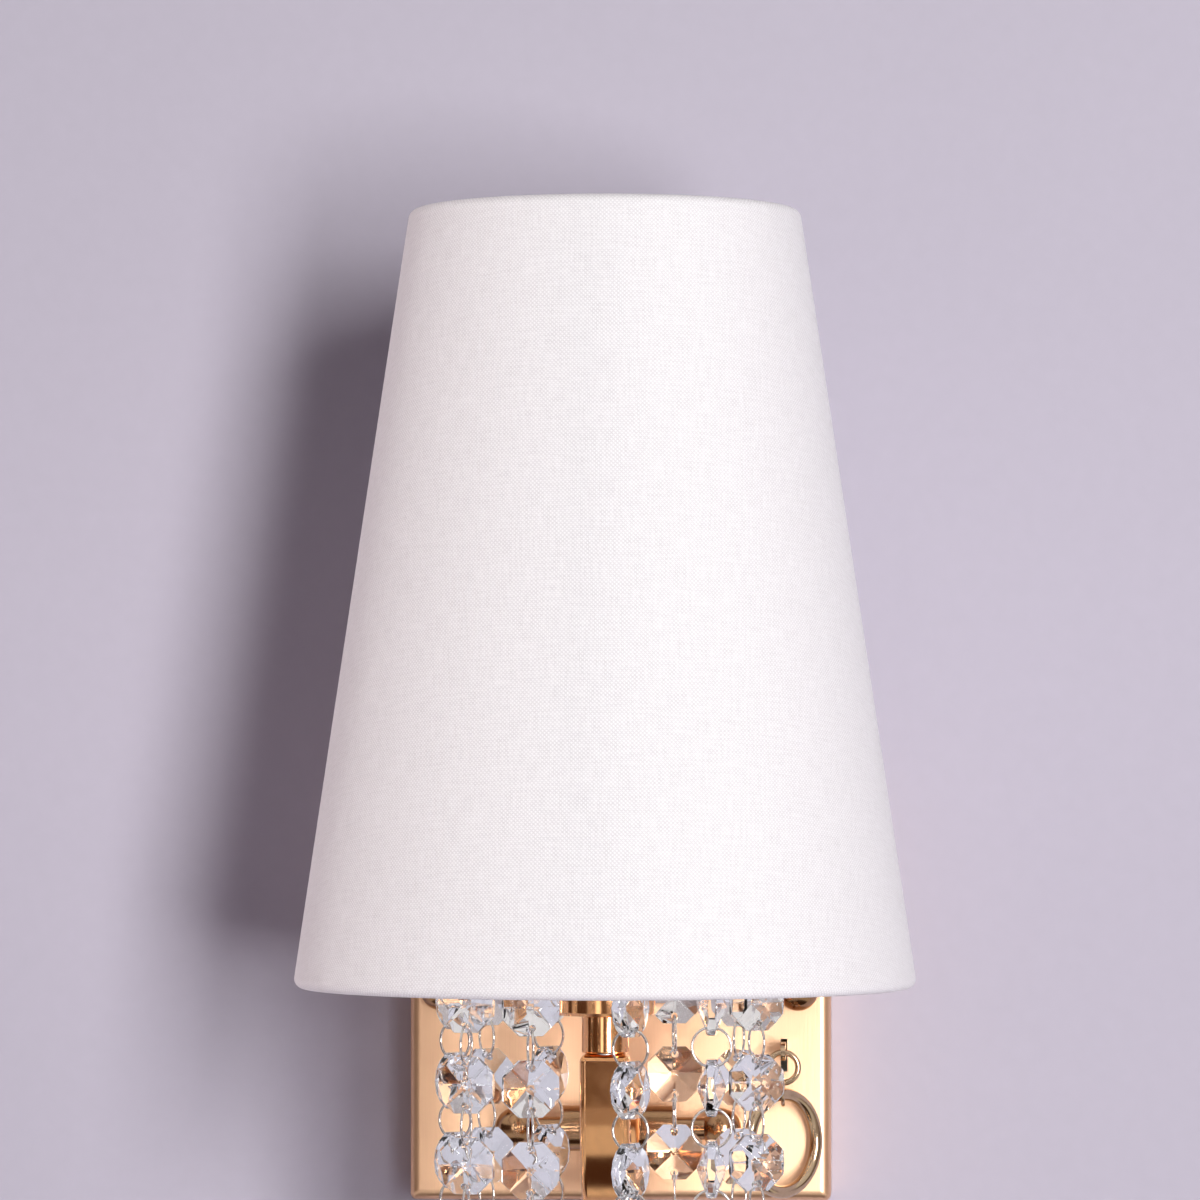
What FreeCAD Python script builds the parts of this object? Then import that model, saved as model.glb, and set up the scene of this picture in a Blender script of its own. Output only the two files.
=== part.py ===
import FreeCAD, Part
import Sketcher
import math
import os
import re

from FreeCAD import Placement, Rotation, Vector

# Crystal wall sconce.  The origin is the middle of the wall plate's back, on the wall (y = 0).
# X runs to the right along the wall, -Y out into the room and +Z up.

SIZES = (
    ("plate_side", 111.0, "width and height of the square wall plate"),
    ("plate_depth", 18.0, "how far the plate's face stands off the wall"),
    ("plate_wall", 1.2, "sheet thickness of the pressed plate"),
    ("plate_round", 2.8, "rounding of the plate's front edges"),
    ("corner_round", 1.6, "rounding of the plate's four corners"),
    ("stud_spacing", 94.0, "distance between the two fixing studs"),
    ("stud_radius", 1.95, "M4 stud"),
    ("ball_radius", 5.4, "ball cap nuts and the crossbar's ball ends"),
    ("ball_flat", 1.2, "how much of a ball nut is cut away where it seats"),
    ("stud_tip", 1.6, "stud beyond a ball nut's middle"),
    ("nut_blind", 2.2, "a ball nut's thread beyond its middle"),
    ("bracket_height", 26.0, "height of the wall bracket strap"),
    ("bracket_sheet", 1.5, "thickness of the wall bracket strap"),
    ("bracket_end", 4.5, "strap beyond each stud"),
    ("slot_spacing", 60.0, "distance between the bracket's two wall-screw slots"),
    ("slot_width", 4.5, "width of a wall-screw slot"),
    ("slot_length", 12.0, "length of a wall-screw slot, end to end"),
    ("inlet_radius", 8.0, "cable hole through the bracket's grommet"),
    ("grommet_wall", 2.0, "rubber between the cable hole and the bracket"),
    ("grommet_lip", 1.2, "the grommet's lip, both its thickness and its overlap"),
    ("root_drop", 36.0, "crossbar centre line below the plate's middle"),
    ("root_stand", 8.0, "crossbar centre line in front of the plate's face"),
    ("barrel_radius", 6.0, "thick middle of the crossbar"),
    ("barrel_length", 30.0, "length of the crossbar's thick middle"),
    ("rod_radius", 3.0, "thin parts of the crossbar"),
    ("ball_spacing", 54.0, "distance between the crossbar's ball centres"),
    ("root_tube_radius", 4.95, "M10 threaded tube that holds the crossbar to the plate"),
    ("root_tube_bore", 3.75, "wire way in the root tube"),
    ("root_tube_tail", 4.8, "how far the root tube stands inside the plate"),
    ("root_tube_tip", 0.6, "root tube beyond the crossbar's centre line"),
    ("spigot_wall", 1.0, "crossbar's spigot round the root tube's thread"),
    ("nut_flats", 14.0, "lock nut across its flats"),
    ("nut_thick", 3.6, "lock nut thickness"),
    ("arm_width", 12.5, "arm across its front face"),
    ("arm_thick", 10.0, "arm from its front face to its back face"),
    ("arm_edge", 1.5, "rounding along the arm's four long edges"),
    ("arm_end_round", 2.2, "rounding round the arm's top end"),
    ("arm_bore", 3.0, "radius of the wire way along the arm"),
    ("arm_seat", 3.8, "how far the arm is let into the crossbar"),
    ("arm_dip_radius", 22.0, "first bend of the arm, downwards"),
    ("arm_rise_radius", 30.0, "second bend of the arm, upwards"),
    ("arm_dip_angle", 49.0, "slope of the arm between its two bends, degrees"),
    ("lamp_stand", 82.0, "lamp axis in front of the plate's face"),
    ("arm_top", -12.4, "height of the arm's top end"),
    ("neck_radius", 5.85, "turned neck on the arm's end"),
    ("neck_height", 9.5, "neck from the arm to the cup"),
    ("neck_chamfer", 0.4, "broken edges of the neck"),
    ("top_tube_radius", 3.95, "M8 threaded tube through neck, cup and hoop"),
    ("top_tube_bore", 2.7, "wire way in the top tube"),
    ("top_tube_grip", 8.0, "how far the top tube goes down into the arm"),
    ("top_tube_rise", 5.0, "how far the top tube stands into the lampholder"),
    ("cup_radius", 12.6, "turned cup under the lampholder"),
    ("cup_height", 14.0, "height of the cup"),
    ("cup_wall", 2.0, "wall of the cup"),
    ("cup_foot_chamfer", 0.8, "broken edge under the cup"),
    ("cup_rim_chamfer", 0.5, "broken edge of the cup's rim"),
    ("cup_boss_wall", 2.5, "boss round the top tube inside the cup"),
    ("hub_radius", 10.5, "washer in the middle of the crystal hoop"),
    ("hub_thick", 1.5, "thickness of that washer and of the spokes"),
    ("spoke_width", 2.4, "width of a hoop spoke"),
    ("hoop_radius", 38.0, "centre line of the hoop that carries the crystals"),
    ("hoop_wire", 1.5, "radius of the hoop's wire"),
    ("hoop_lift", 1.3, "hoop centre line above the middle of its spokes"),
    ("ring_radius", 4.9, "centre line radius of a string's chrome ring"),
    ("ring_wire", 0.3, "radius of the chrome ring's wire"),
    ("bead_flats", 14.0, "octagon crystal across its flats"),
    ("bead_peak", 3.7, "half thickness of a crystal in its middle"),
    ("bead_edge", 1.2, "half thickness of a crystal at the middle of a side"),
    ("bead_hole_offset", 5.05, "a crystal's two holes from its middle"),
    ("bead_hole", 0.85, "radius of a crystal's holes"),
    ("bead_count", 5.0, "crystals on each string"),
    ("base_radius", 13.0, "lampholder base"),
    ("base_height", 13.5, "height of the lampholder base"),
    ("base_floor", 3.0, "floor of the lampholder base"),
    ("base_chamfer", 2.0, "broken edge under the lampholder base"),
    ("skirt_radius", 14.0, "threaded skirt of the lampholder"),
    ("skirt_height", 32.0, "height of the skirt"),
    ("skirt_chamfer", 1.0, "broken edge round the skirt's top"),
    ("skirt_lip", 0.9, "lip inside the skirt's top"),
    ("holder_wall", 1.6, "moulding thickness of the lampholder"),
    ("insert_thick", 8.0, "ceramic insert in the lampholder"),
    ("contact_radius", 2.2, "centre contact in the insert"),
    ("contact_pit", 2.0, "depth of the centre contact's pit"),
    ("shell_radius", 7.8, "outside of the lamp's brass screw shell"),
    ("shell_wall", 0.5, "brass of the screw shell"),
    ("shell_height", 21.0, "height of the screw shell"),
    ("cap_radius", 6.95, "E14 cap of the bulb"),
    ("cap_height", 19.0, "metal part of the bulb's cap"),
    ("cap_lift", 1.6, "bulb's insulator above the ceramic insert"),
    ("cap_taper", 1.5, "slope at the cap's lower end"),
    ("insulator_height", 1.8, "glass insulator under the cap"),
    ("tip_height", 0.7, "solder tip under the insulator"),
    ("tip_radius", 2.4, "solder tip"),
    ("tip_chamfer", 0.8, "rounding of the solder tip"),
    ("bulb_radius", 17.5, "widest part of the candle bulb"),
    ("bulb_length", 76.0, "glass of the bulb above its cap"),
    ("bulb_wall", 0.8, "glass of the bulb"),
    ("bulb_neck_step", 0.4, "glass neck inside the cap's edge"),
    ("bulb_straight", 4.0, "straight part of the glass neck"),
    ("bulb_belly", 32.0, "widest place of the glass above the cap"),
    ("bulb_tip_round", 3.4, "rounding radius of the glass tip"),
    ("bulb_tip_turn", 50.0, "how far round that tip the shoulder meets it, degrees"),
    ("shade_ring_radius", 19.5, "outside of the two shade rings"),
    ("shade_ring_thick", 3.6, "thickness of a shade ring"),
    ("shade_ring_chamfer", 0.6, "broken edges of a shade ring"),
    ("shade_seat", 48.0, "height at which the shade's centre ring rests"),
    ("carrier_thick", 1.6, "thickness of the shade's centre ring"),
    ("carrier_width", 7.0, "width of the shade's centre ring"),
    ("shade_bottom", 4.2, "height of the shade's lower edge"),
    ("shade_height", 194.0, "height of the shade"),
    ("shade_low_radius", 78.0, "outside radius of the shade's lower edge"),
    ("shade_top_radius", 49.0, "outside radius of the shade's upper edge"),
    ("cover_thick", 0.5, "linen cover"),
    ("liner_thick", 0.4, "stiff liner behind the linen"),
    ("strut_bite", 0.5, "how far a strut's end runs into the centre ring"),
    ("frame_wire", 1.5, "radius of the shade's wire rings"),
    ("frame_inset", 0.6, "wire rings inside the shade's edges"),
    ("strut_wire", 1.1, "radius of the three struts"),
    ("pull_offset", 43.2, "pull switch to the right of the plate's middle"),
    ("pull_height", -15.7, "height of the eye in the pull tongue"),
    ("pull_reach", 13.0, "that eye in front of the plate's face"),
    ("pull_travel", 3.0, "how far the tongue is pulled down"),
    ("tongue_thick", 1.2, "sheet of the pull tongue"),
    ("tongue_height", 4.4, "height of the pull tongue"),
    ("tongue_eye", 1.2, "radius of the hole in the tongue"),
    ("tongue_tail", 6.3, "tongue inside the switch"),
    ("switch_width", 13.5, "switch body"),
    ("switch_depth", 11.8, "switch body, from the plate's inside face"),
    ("switch_below", 5.0, "switch body below the tongue's lowest place"),
    ("switch_above", 8.0, "switch body above the tongue"),
    ("link_radius", 3.95, "centre line radius of the first link"),
    ("link_wire", 0.8, "radius of the first link's wire"),
    ("joiner_radius", 3.7, "centre line radius of the second link"),
    ("joiner_wire", 0.5, "radius of the second link's wire"),
    ("pull_ring_radius", 12.7, "centre line radius of the pull ring"),
    ("pull_ring_wire", 1.65, "radius of the pull ring's wire"),
    ("pull_ring_turn", 48.0, "how far the pull ring is turned from facing front, degrees"),
    ("wire_radius", 0.95, "insulated wire"),
    ("wire_plane", 6.0, "wires inside the plate, in front of the wall"),
    ("wire_bend", 6.0, "bend of a wire inside the plate"),
    ("earth_bend", 2.0, "bend of the short earth wire"),
    ("neutral_drop", 8.0, "where the neutral wire begins to lean, above the plate's middle"),
    ("neutral_low", -10.0, "where it hangs straight again"),
    ("switched_run", 8.0, "level run of the switched wire beside the switch"),
    ("switched_fall", 14.0, "switch side to the foot of that wire's fall"),
    ("supply_rise", 14.0, "supply wire's level run above the switch"),
    ("block_width", 34.0, "terminal block"),
    ("block_height", 14.0, "height of the terminal block"),
    ("block_depth", 12.0, "depth of the terminal block"),
    ("block_rise", 21.0, "lower face of the terminal block above the plate's middle"),
    ("pole_pitch", 8.0, "distance between the terminal block's poles"),
    ("clamp_radius", 1.7, "clamp screw in the terminal block"),
    ("clamp_depth", 4.0, "well of a clamp screw"),
    ("groove_width", 1.0, "grooves between the terminal block's poles"),
    ("earth_offset", 17.5, "earth screw to the left of the plate's middle"),
    ("tag_width", 6.4, "earth tag"),
    ("tag_sheet", 0.8, "sheet of the earth tag"),
    ("tag_rise", 8.2, "earth tag's barrel above its screw"),
    ("barrel_outer", 1.6, "radius of the earth tag's barrel"),
    ("barrel_tall", 6.0, "height of the earth tag's barrel"),
    ("earth_shank", 2.0, "shank of the earth screw"),
    ("earth_head", 3.4, "head of the earth screw"),
    ("earth_head_thick", 2.4, "thickness of that head"),
    ("cross_arm", 2.0, "half length of the cross recess in that head"),
    ("cross_slit", 0.35, "half width of the cross recess"),
    ("cross_depth", 1.0, "depth of the cross recess"),
    ("fit", 0.05, "radial clearance of seated and threaded pieces"),
    ("gap", 0.3, "clearance between pieces that move past each other"),
)

# Each string: its place round the hoop and the way its crystals face, both in degrees from the front.
STRINGS = (
    ("a", -62.0, -8.0),
    ("b", -26.0, 14.0),
    ("c", 12.0, 62.0),
    ("d", 46.0, 90.0),
    ("e", 85.0, 26.0),
    ("f", 120.0, -17.0),
    ("g", 155.0, 4.0),
    ("h", -155.0, 52.0),
    ("i", -125.0, 30.0),
    ("j", -95.0, 55.0),
)
SPOKES = (70.0, 190.0, 310.0)
STRUTS = (60.0, 180.0, 300.0)
SIDES = (("left", "-"), ("right", "+"))

X_AXIS = Vector(1, 0, 0)
Y_AXIS = Vector(0, 1, 0)
Z_AXIS = Vector(0, 0, 1)
WAYS = {"up": Rotation(), "out": Rotation(X_AXIS, 90), "right": Rotation(Y_AXIS, 90)}

# Heights and depths that several pieces share, as formulas of the sizes.
BALL_SEAT = "(ball_radius - ball_flat)"
PLATE_INSIDE = "(plate_depth - plate_wall)"
ROOT_OUT = "(plate_depth + root_stand)"
LAMP_REACH = "(plate_depth + lamp_stand)"
TONGUE_LOW = "(pull_height - tongue_height / 2)"
TONGUE_HIGH = "(pull_height + tongue_height / 2)"
PULL_OUT = "(plate_depth + pull_reach)"
LINK_HEIGHT = "(pull_height - tongue_eye + link_wire + gap - link_radius)"
JOINER_HEIGHT = f"({LINK_HEIGHT} - link_radius + link_wire + gap - joiner_radius + joiner_wire)"
PULL_RING_TOP = f"({JOINER_HEIGHT} - joiner_radius + joiner_wire + 2 * gap + pull_ring_wire)"
CUP_LOW = "(arm_top + neck_height)"
HUB_LOW = f"({CUP_LOW} + cup_height)"
HOOP_HEIGHT = f"({HUB_LOW} + hub_thick / 2 + hoop_lift)"
BASE_LOW = f"({HUB_LOW} + hub_thick)"
SKIRT_LOW = f"({BASE_LOW} + base_height)"
SKIRT_HIGH = f"({SKIRT_LOW} + skirt_height)"
INSERT_LOW = f"({BASE_LOW} + top_tube_rise + base_floor)"
INSERT_HIGH = f"({INSERT_LOW} + insert_thick)"
CAP_FOOT = f"({INSERT_HIGH} + cap_lift)"
CAP_LOW = f"({CAP_FOOT} + insulator_height)"
TOP_RING_HEIGHT = f"({HOOP_HEIGHT} + hoop_wire + gap - ring_radius + ring_wire)"
BEAD_PITCH = "(2 * (ring_radius + bead_hole_offset))"
SHADE_LEAN = "(sqrt(shade_height ^ 2 + (shade_low_radius - shade_top_radius) ^ 2) / shade_height)"
SKIN = "(cover_thick + liner_thick)"

doc = FreeCAD.newDocument("crystal_wall_sconce")
sheet = doc.addObject("Spreadsheet::Sheet", "Sizes")
facings = [(f"{kind}_{name}", value, f"string {name}: {words}")
           for name, place, facing in STRINGS
           for kind, value, words in (("place", place, "its place round the hoop, degrees"),
                                      ("facing", facing, "the way its crystals face, degrees"))]
for row, (alias, value, meaning) in enumerate(SIZES + tuple(facings), 1):
    sheet.set(f"A{row}", alias)
    sheet.set(f"B{row}", str(value))
    sheet.set(f"C{row}", meaning)
    sheet.setAlias(f"B{row}", alias)
doc.recompute()

size_names = {alias for alias, _, _ in SIZES} | {alias for alias, _, _ in facings}
finished = []


def size(name):
    """Reads one size from the sheet."""
    return float(sheet.get(name))


def lamp_reach_number():
    """How far the lamp's axis stands from the wall, as a number."""
    return size("plate_depth") + size("lamp_stand")


def bound(formula):
    """Points each size's name in a formula at the sheet."""
    return re.sub(r"[a-z_]+", lambda word: f"Sizes.{word[0]}" if word[0] in size_names else word[0], formula)


def keep(item):
    """Marks an object as one of the lamp's own pieces."""
    finished.append(item)
    return item


def bind(item, formulas):
    """Ties an object's properties to formulas."""
    for prop, formula in formulas.items():
        item.setExpression(prop, bound(formula))
    return item


# ---------------------------------------------------------------------------------------------
# Solids from sketches


def plane_of(body, role):
    """Finds one of a body's own origin planes."""
    return next(item for item in body.Origin.OriginFeatures if item.Role == role)


def sketch_in(body, name, role, lift=None):
    """An empty sketch on one of the body's planes, or at a distance in front of it."""
    sketch = body.newObject("Sketcher::SketchObject", name)
    sketch.AttachmentSupport = [(plane_of(body, role), "")]
    sketch.MapMode = "FlatFace"
    if lift:
        bind(sketch, {"AttachmentOffset.Base.z": lift})
    return sketch


def fix(sketch, constraint, formula):
    """Adds a dimension to a sketch and ties it to a formula."""
    number = sketch.addConstraint(constraint)
    bind(sketch, {f"Constraints[{number}]": formula})


def outline(body, name, role, corners, lift=None):
    """Closes a sketch of straight runs; each corner is tied to two formulas, across and up."""
    sketch = sketch_in(body, name, role, lift)
    count = len(corners)
    turns = [2 * math.pi * index / count for index in range(count)]
    rough = [Vector(40 + 20 * math.cos(turn), 20 * math.sin(turn), 0) for turn in turns]
    for index in range(count):
        sketch.addGeometry(Part.LineSegment(rough[index], rough[(index + 1) % count]))
    for index in range(count):
        sketch.addConstraint(Sketcher.Constraint("Coincident", index, 2, (index + 1) % count, 1))
    for index, (across, up) in enumerate(corners):
        fix(sketch, Sketcher.Constraint("DistanceX", -1, 1, index, 1, rough[index].x), across)
        fix(sketch, Sketcher.Constraint("DistanceY", -1, 1, index, 1, rough[index].y), up)
    return sketch


def circles(body, name, role, rounds, lift=None):
    """Draws whole circles; each has formulas for across, up and radius."""
    sketch = sketch_in(body, name, role, lift)
    for index, (across, up, radius) in enumerate(rounds):
        start = Vector(10 + 20 * index, 10, 0)
        sketch.addGeometry(Part.Circle(start, Z_AXIS, 2))
        fix(sketch, Sketcher.Constraint("DistanceX", -1, 1, index, 3, start.x), across)
        fix(sketch, Sketcher.Constraint("DistanceY", -1, 1, index, 3, start.y), up)
        fix(sketch, Sketcher.Constraint("Radius", index, 2), radius)
    return sketch


def rectangle(left, right, low, high):
    """Names the four corners of an upright rectangle."""
    return [(left, low), (right, low), (right, high), (left, high)]


def pad(body, sketch, length, name):
    """Thickens a sketch outwards from the wall."""
    feature = body.newObject("PartDesign::Pad", name)
    feature.Profile = sketch
    return bind(feature, {"Length": length})


def pocket(body, sketch, length, name, outwards=True):
    """Cuts a sketch into the piece: outwards from the wall, or else straight down."""
    feature = body.newObject("PartDesign::Pocket", name)
    feature.Profile = sketch
    feature.Reversed = outwards
    return bind(feature, {"Length": length})


def round_edges(body, base, radius, name, wanted):
    """Rounds those edges of the base feature for which wanted(edge) is true."""
    doc.recompute()
    chosen = [f"Edge{index}" for index, edge in enumerate(base.Shape.Edges, 1) if wanted(edge)]
    feature = body.newObject("PartDesign::Fillet", name)
    feature.Base = (base, chosen)
    return bind(feature, {"Radius": radius})


def turned(label, corners, on_lamp_axis=True):
    """A turned piece; corners are radius and height.  Most stand on the lamp's axis."""
    body = doc.addObject("PartDesign::Body", label)
    turning = body.newObject("PartDesign::Revolution", label + "_turning")
    turning.Profile = outline(body, label + "_section", "XZ_Plane", corners)
    turning.ReferenceAxis = (turning.Profile[0], ["V_Axis"])
    turning.Angle = 360
    body.Tip = turning
    if on_lamp_axis:
        bind(body, {"Placement.Base.y": f"-{LAMP_REACH}"})
    return body


# ---------------------------------------------------------------------------------------------
# Solids from plain blocks, bars, balls and rings.  A place is across, out from the wall, and up.


def primitive(kind, name, dims, place, way="up"):
    """A plain solid with its sizes and its place tied to formulas."""
    item = doc.addObject("Part::" + kind, name)
    item.Placement = Placement(Vector(), WAYS[way])
    across, out, up = place
    bind(item, dims)
    return bind(item, {"Placement.Base.x": across, "Placement.Base.y": f"-({out})", "Placement.Base.z": up})


def block(name, across, out, up):
    """A block between a low and a high formula in each direction."""
    dims = {"Length": f"{across[1]} - ({across[0]})", "Width": f"{out[1]} - ({out[0]})",
            "Height": f"{up[1]} - ({up[0]})"}
    return primitive("Box", name, dims, (across[0], out[1], up[0]))


def bar(name, radius, length, place, way):
    """A round bar from its place, running up, out from the wall or to the right."""
    return primitive("Cylinder", name, {"Radius": radius, "Height": length}, place, way)


def ball(name, radius, place, way="up"):
    """A ball about its place, with its poles along the given way."""
    return primitive("Sphere", name, {"Radius": radius}, place, way)


def ring(name, radius, wire, place, way):
    """A wire ring about its place, with its axis up, out from the wall or to the right."""
    return primitive("Torus", name, {"Radius1": radius, "Radius2": wire}, place, way)


def fused(label, items):
    """Joins items into one solid."""
    item = doc.addObject("Part::MultiFuse", label)
    item.Shapes = items
    item.Refine = True
    return item


def cut(label, base, tools):
    """Cuts the tools out of the base."""
    item = doc.addObject("Part::Cut", label)
    item.Base = base
    item.Tool = tools[0] if len(tools) == 1 else fused(label + "_openings", tools)
    return item


def grouped(label, items, turn=None, place=None):
    """Keeps items side by side as one group, which may be turned about Z and placed by formulas."""
    item = doc.addObject("Part::Compound", label)
    item.Links = items
    if turn:
        item.Placement = Placement(Vector(), Rotation(Z_AXIS, 1))
        bind(item, {"Placement.Rotation.Angle": turn})
    if place:
        across, out, up = place
        bind(item, {"Placement.Base.x": across, "Placement.Base.y": f"-({out})", "Placement.Base.z": up})
    return item


def shaped(label, shape):
    """A solid whose curved shape is worked out from the sheet's sizes."""
    item = doc.addObject("Part::Feature", label)
    item.Shape = shape
    return item


# ---------------------------------------------------------------------------------------------
# Wall side: bracket, grommet, studs, plate and cap nuts


def make_wall_bracket():
    """Steel strap on the wall with two screw slots, a grommet hole and two stud holes."""
    body = doc.addObject("PartDesign::Body", "wall_bracket")
    half_long = "(stud_spacing / 2 + bracket_end)"
    strap = outline(body, "strap_outline", "XZ_Plane", rectangle(
        f"-{half_long}", half_long, "-bracket_height / 2", "bracket_height / 2"))
    pad(body, strap, "bracket_sheet", "strap")
    holes = circles(body, "strap_holes", "XZ_Plane", [
        ("0", "0", "inlet_radius + grommet_wall"),
        ("-stud_spacing / 2", "0", "stud_radius + fit"),
        ("stud_spacing / 2", "0", "stud_radius + fit")])
    pocket(body, holes, "bracket_sheet", "strap_drilling")
    reach = "(slot_length - slot_width) / 2"
    for word, sign in SIDES:
        middle = f"{sign}slot_spacing / 2"
        slot = outline(body, f"{word}_slot", "XZ_Plane", rectangle(
            f"{middle} - {reach}", f"{middle} + {reach}", "-slot_width / 2", "slot_width / 2"))
        pocket(body, slot, "bracket_sheet", f"{word}_slot_cut")
        ends = circles(body, f"{word}_slot_ends", "XZ_Plane", [
            (f"{middle} - {reach}", "0", "slot_width / 2"), (f"{middle} + {reach}", "0", "slot_width / 2")])
        pocket(body, ends, "bracket_sheet", f"{word}_slot_end_cut")
    keep(body)


def make_grommet():
    """Rubber ring in the bracket's middle hole, the supply cable's way in."""
    outer = "inlet_radius + grommet_wall"
    middle = bar("grommet_middle", f"{outer} - fit", "bracket_sheet", ("0", "0", "0"), "out")
    lip = bar("grommet_front_lip", f"{outer} + grommet_lip", "grommet_lip",
              ("0", "bracket_sheet", "0"), "out")
    way = bar("grommet_way", "inlet_radius", "bracket_sheet + grommet_lip", ("0", "0", "0"), "out")
    keep(cut("cable_grommet", fused("grommet_blank", [middle, lip]), [way]))


def make_studs():
    """Two M4 studs screwed into the bracket, which the ball nuts pull the plate home on."""
    tip = f"plate_depth + {BALL_SEAT} + stud_tip"
    studs = [bar(f"{word}_stud", "stud_radius", tip, (f"{sign}stud_spacing / 2", "0", "0"), "out")
             for word, sign in SIDES]
    keep(grouped("fixing_studs", studs))


def make_cap_nuts():
    """Two ball cap nuts with blind threaded holes, seated on the plate's face."""
    nuts = []
    for word, sign in SIDES:
        middle = f"{sign}stud_spacing / 2"
        sphere = ball(f"{word}_nut_ball", "ball_radius", (middle, f"plate_depth + {BALL_SEAT}", "0"))
        behind = block(f"{word}_nut_flat", (f"{middle} - ball_radius", f"{middle} + ball_radius"),
                       ("plate_depth - ball_flat", "plate_depth"), ("-ball_radius", "ball_radius"))
        hole = bar(f"{word}_nut_hole", "stud_radius + fit", f"{BALL_SEAT} + nut_blind",
                   (middle, "plate_depth", "0"), "out")
        nuts.append(cut(f"{word}_ball_nut", sphere, [behind, hole]))
    keep(grouped("ball_cap_nuts", nuts))


def make_backplate():
    """Pressed square tray, open at the wall, with stud, root tube and pull tongue openings."""
    body = doc.addObject("PartDesign::Body", "backplate")
    half = "plate_side / 2"
    blank = outline(body, "plate_outline", "XZ_Plane", rectangle(f"-{half}", half, f"-{half}", half))
    plain = pad(body, blank, "plate_depth", "plate_block")
    corners = round_edges(body, plain, "corner_round", "plate_corners",
                          lambda edge: abs(edge.BoundBox.YLength - size("plate_depth")) < 0.01)
    round_edges(body, corners, "plate_round", "plate_front_round",
                lambda edge: edge.BoundBox.YMax < 0.01 - size("plate_depth"))
    inner = "(plate_side / 2 - plate_wall)"
    hollow = outline(body, "plate_hollow", "XZ_Plane", rectangle(f"-{inner}", inner, f"-{inner}", inner))
    pocket(body, hollow, PLATE_INSIDE, "plate_hollowing")
    holes = circles(body, "plate_holes", "XZ_Plane", [
        ("-stud_spacing / 2", "0", "stud_radius + gap"),
        ("stud_spacing / 2", "0", "stud_radius + gap"),
        ("0", "-root_drop", "root_tube_radius + gap")])
    pocket(body, holes, "plate_depth", "plate_drilling")
    slot = outline(body, "tongue_slot", "XZ_Plane", rectangle(
        "pull_offset - tongue_thick / 2 - gap", "pull_offset + tongue_thick / 2 + gap",
        f"{TONGUE_LOW} - pull_travel - 2 * gap", f"{TONGUE_HIGH} + 2 * gap"))
    pocket(body, slot, "plate_depth", "tongue_slot_cut")
    keep(body)


# ---------------------------------------------------------------------------------------------
# Inside the plate: terminals, earth, switch and pull


def make_terminal_block():
    """Three-way terminal block on the inside of the plate, with its clamp screws."""
    back = f"({PLATE_INSIDE} - block_depth)"
    high = "(block_rise + block_height)"
    blank = block("terminal_blank", ("-block_width / 2", "block_width / 2"), (back, PLATE_INSIDE),
                  ("block_rise", high))
    openings = []
    screws = []
    for pole in (-1, 0, 1):
        for row in (1, 3):
            place = (f"{pole} * pole_pitch", back, f"block_rise + {row} * block_height / 4")
            name = f"clamp_{len(screws) + 1}"
            openings.append(bar(name + "_well", "clamp_radius + 0.1", "clamp_depth", place, "out"))
            sunk = (place[0], f"{back} + 2 * gap", place[2])
            screws.append(bar(name + "_screw", "clamp_radius", "clamp_depth - 2.5 * gap", sunk, "out"))
    for word, sign in SIDES:
        middle = f"{sign}pole_pitch / 2"
        width = (f"{middle} - groove_width / 2", f"{middle} + groove_width / 2")
        openings.append(block(f"{word}_groove", width, (back, f"{back} + clamp_depth"), ("block_rise", high)))
    keep(cut("terminal_block", blank, openings))
    keep(grouped("terminal_screws", screws))


def make_earth():
    """Earth screw in the bracket, with the tag whose barrel the earth wire ends in."""
    middle = "-earth_offset"
    face = "(bracket_sheet + tag_sheet)"
    tag = block("tag_plate", (f"{middle} - tag_width / 2", f"{middle} + tag_width / 2"),
                ("bracket_sheet", face), ("-tag_width / 2", "tag_rise + tag_sheet"))
    neck = block("tag_neck", (f"{middle} - barrel_outer", f"{middle} + barrel_outer"),
                 ("bracket_sheet", "wire_plane"), ("tag_rise", "tag_rise + tag_sheet"))
    barrel = bar("tag_barrel", "barrel_outer", "barrel_tall", (middle, "wire_plane", "tag_rise"), "up")
    hole = bar("tag_hole", "earth_shank + 2 * fit", "wire_plane", (middle, "0", "0"), "out")
    keep(cut("earth_tag", fused("tag_blank", [tag, neck, barrel]), [hole]))
    head = bar("earth_screw_head", "earth_head", "earth_head_thick", (middle, face, "0"), "out")
    shank = bar("earth_screw_shank", "earth_shank", "tag_sheet", (middle, "bracket_sheet", "0"), "out")
    top = f"({face} + earth_head_thick)"
    sunk = (f"{top} - cross_depth", top)
    level = block("cross_level", (f"{middle} - cross_arm", f"{middle} + cross_arm"), sunk,
                  ("-cross_slit", "cross_slit"))
    upright = block("cross_upright", (f"{middle} - cross_slit", f"{middle} + cross_slit"), sunk,
                    ("-cross_arm", "cross_arm"))
    keep(cut("earth_screw", fused("earth_screw_blank", [head, shank]), [level, upright]))


def make_switch():
    """Switch body behind the plate, slotted for the tongue's travel."""
    case = block("switch_case", ("pull_offset - switch_width / 2", "pull_offset + switch_width / 2"),
                 (f"{PLATE_INSIDE} - switch_depth", PLATE_INSIDE),
                 (f"{TONGUE_LOW} - pull_travel - switch_below", f"{TONGUE_HIGH} + switch_above"))
    room = "(tongue_thick / 2 + gap)"
    slot = block("switch_slot", (f"pull_offset - {room}", f"pull_offset + {room}"),
                 (f"{PLATE_INSIDE} - tongue_tail - 2 * gap", PLATE_INSIDE),
                 (f"{TONGUE_LOW} - pull_travel - 2 * gap", f"{TONGUE_HIGH} + 2 * gap"))
    keep(cut("switch_body", case, [slot]))


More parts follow.
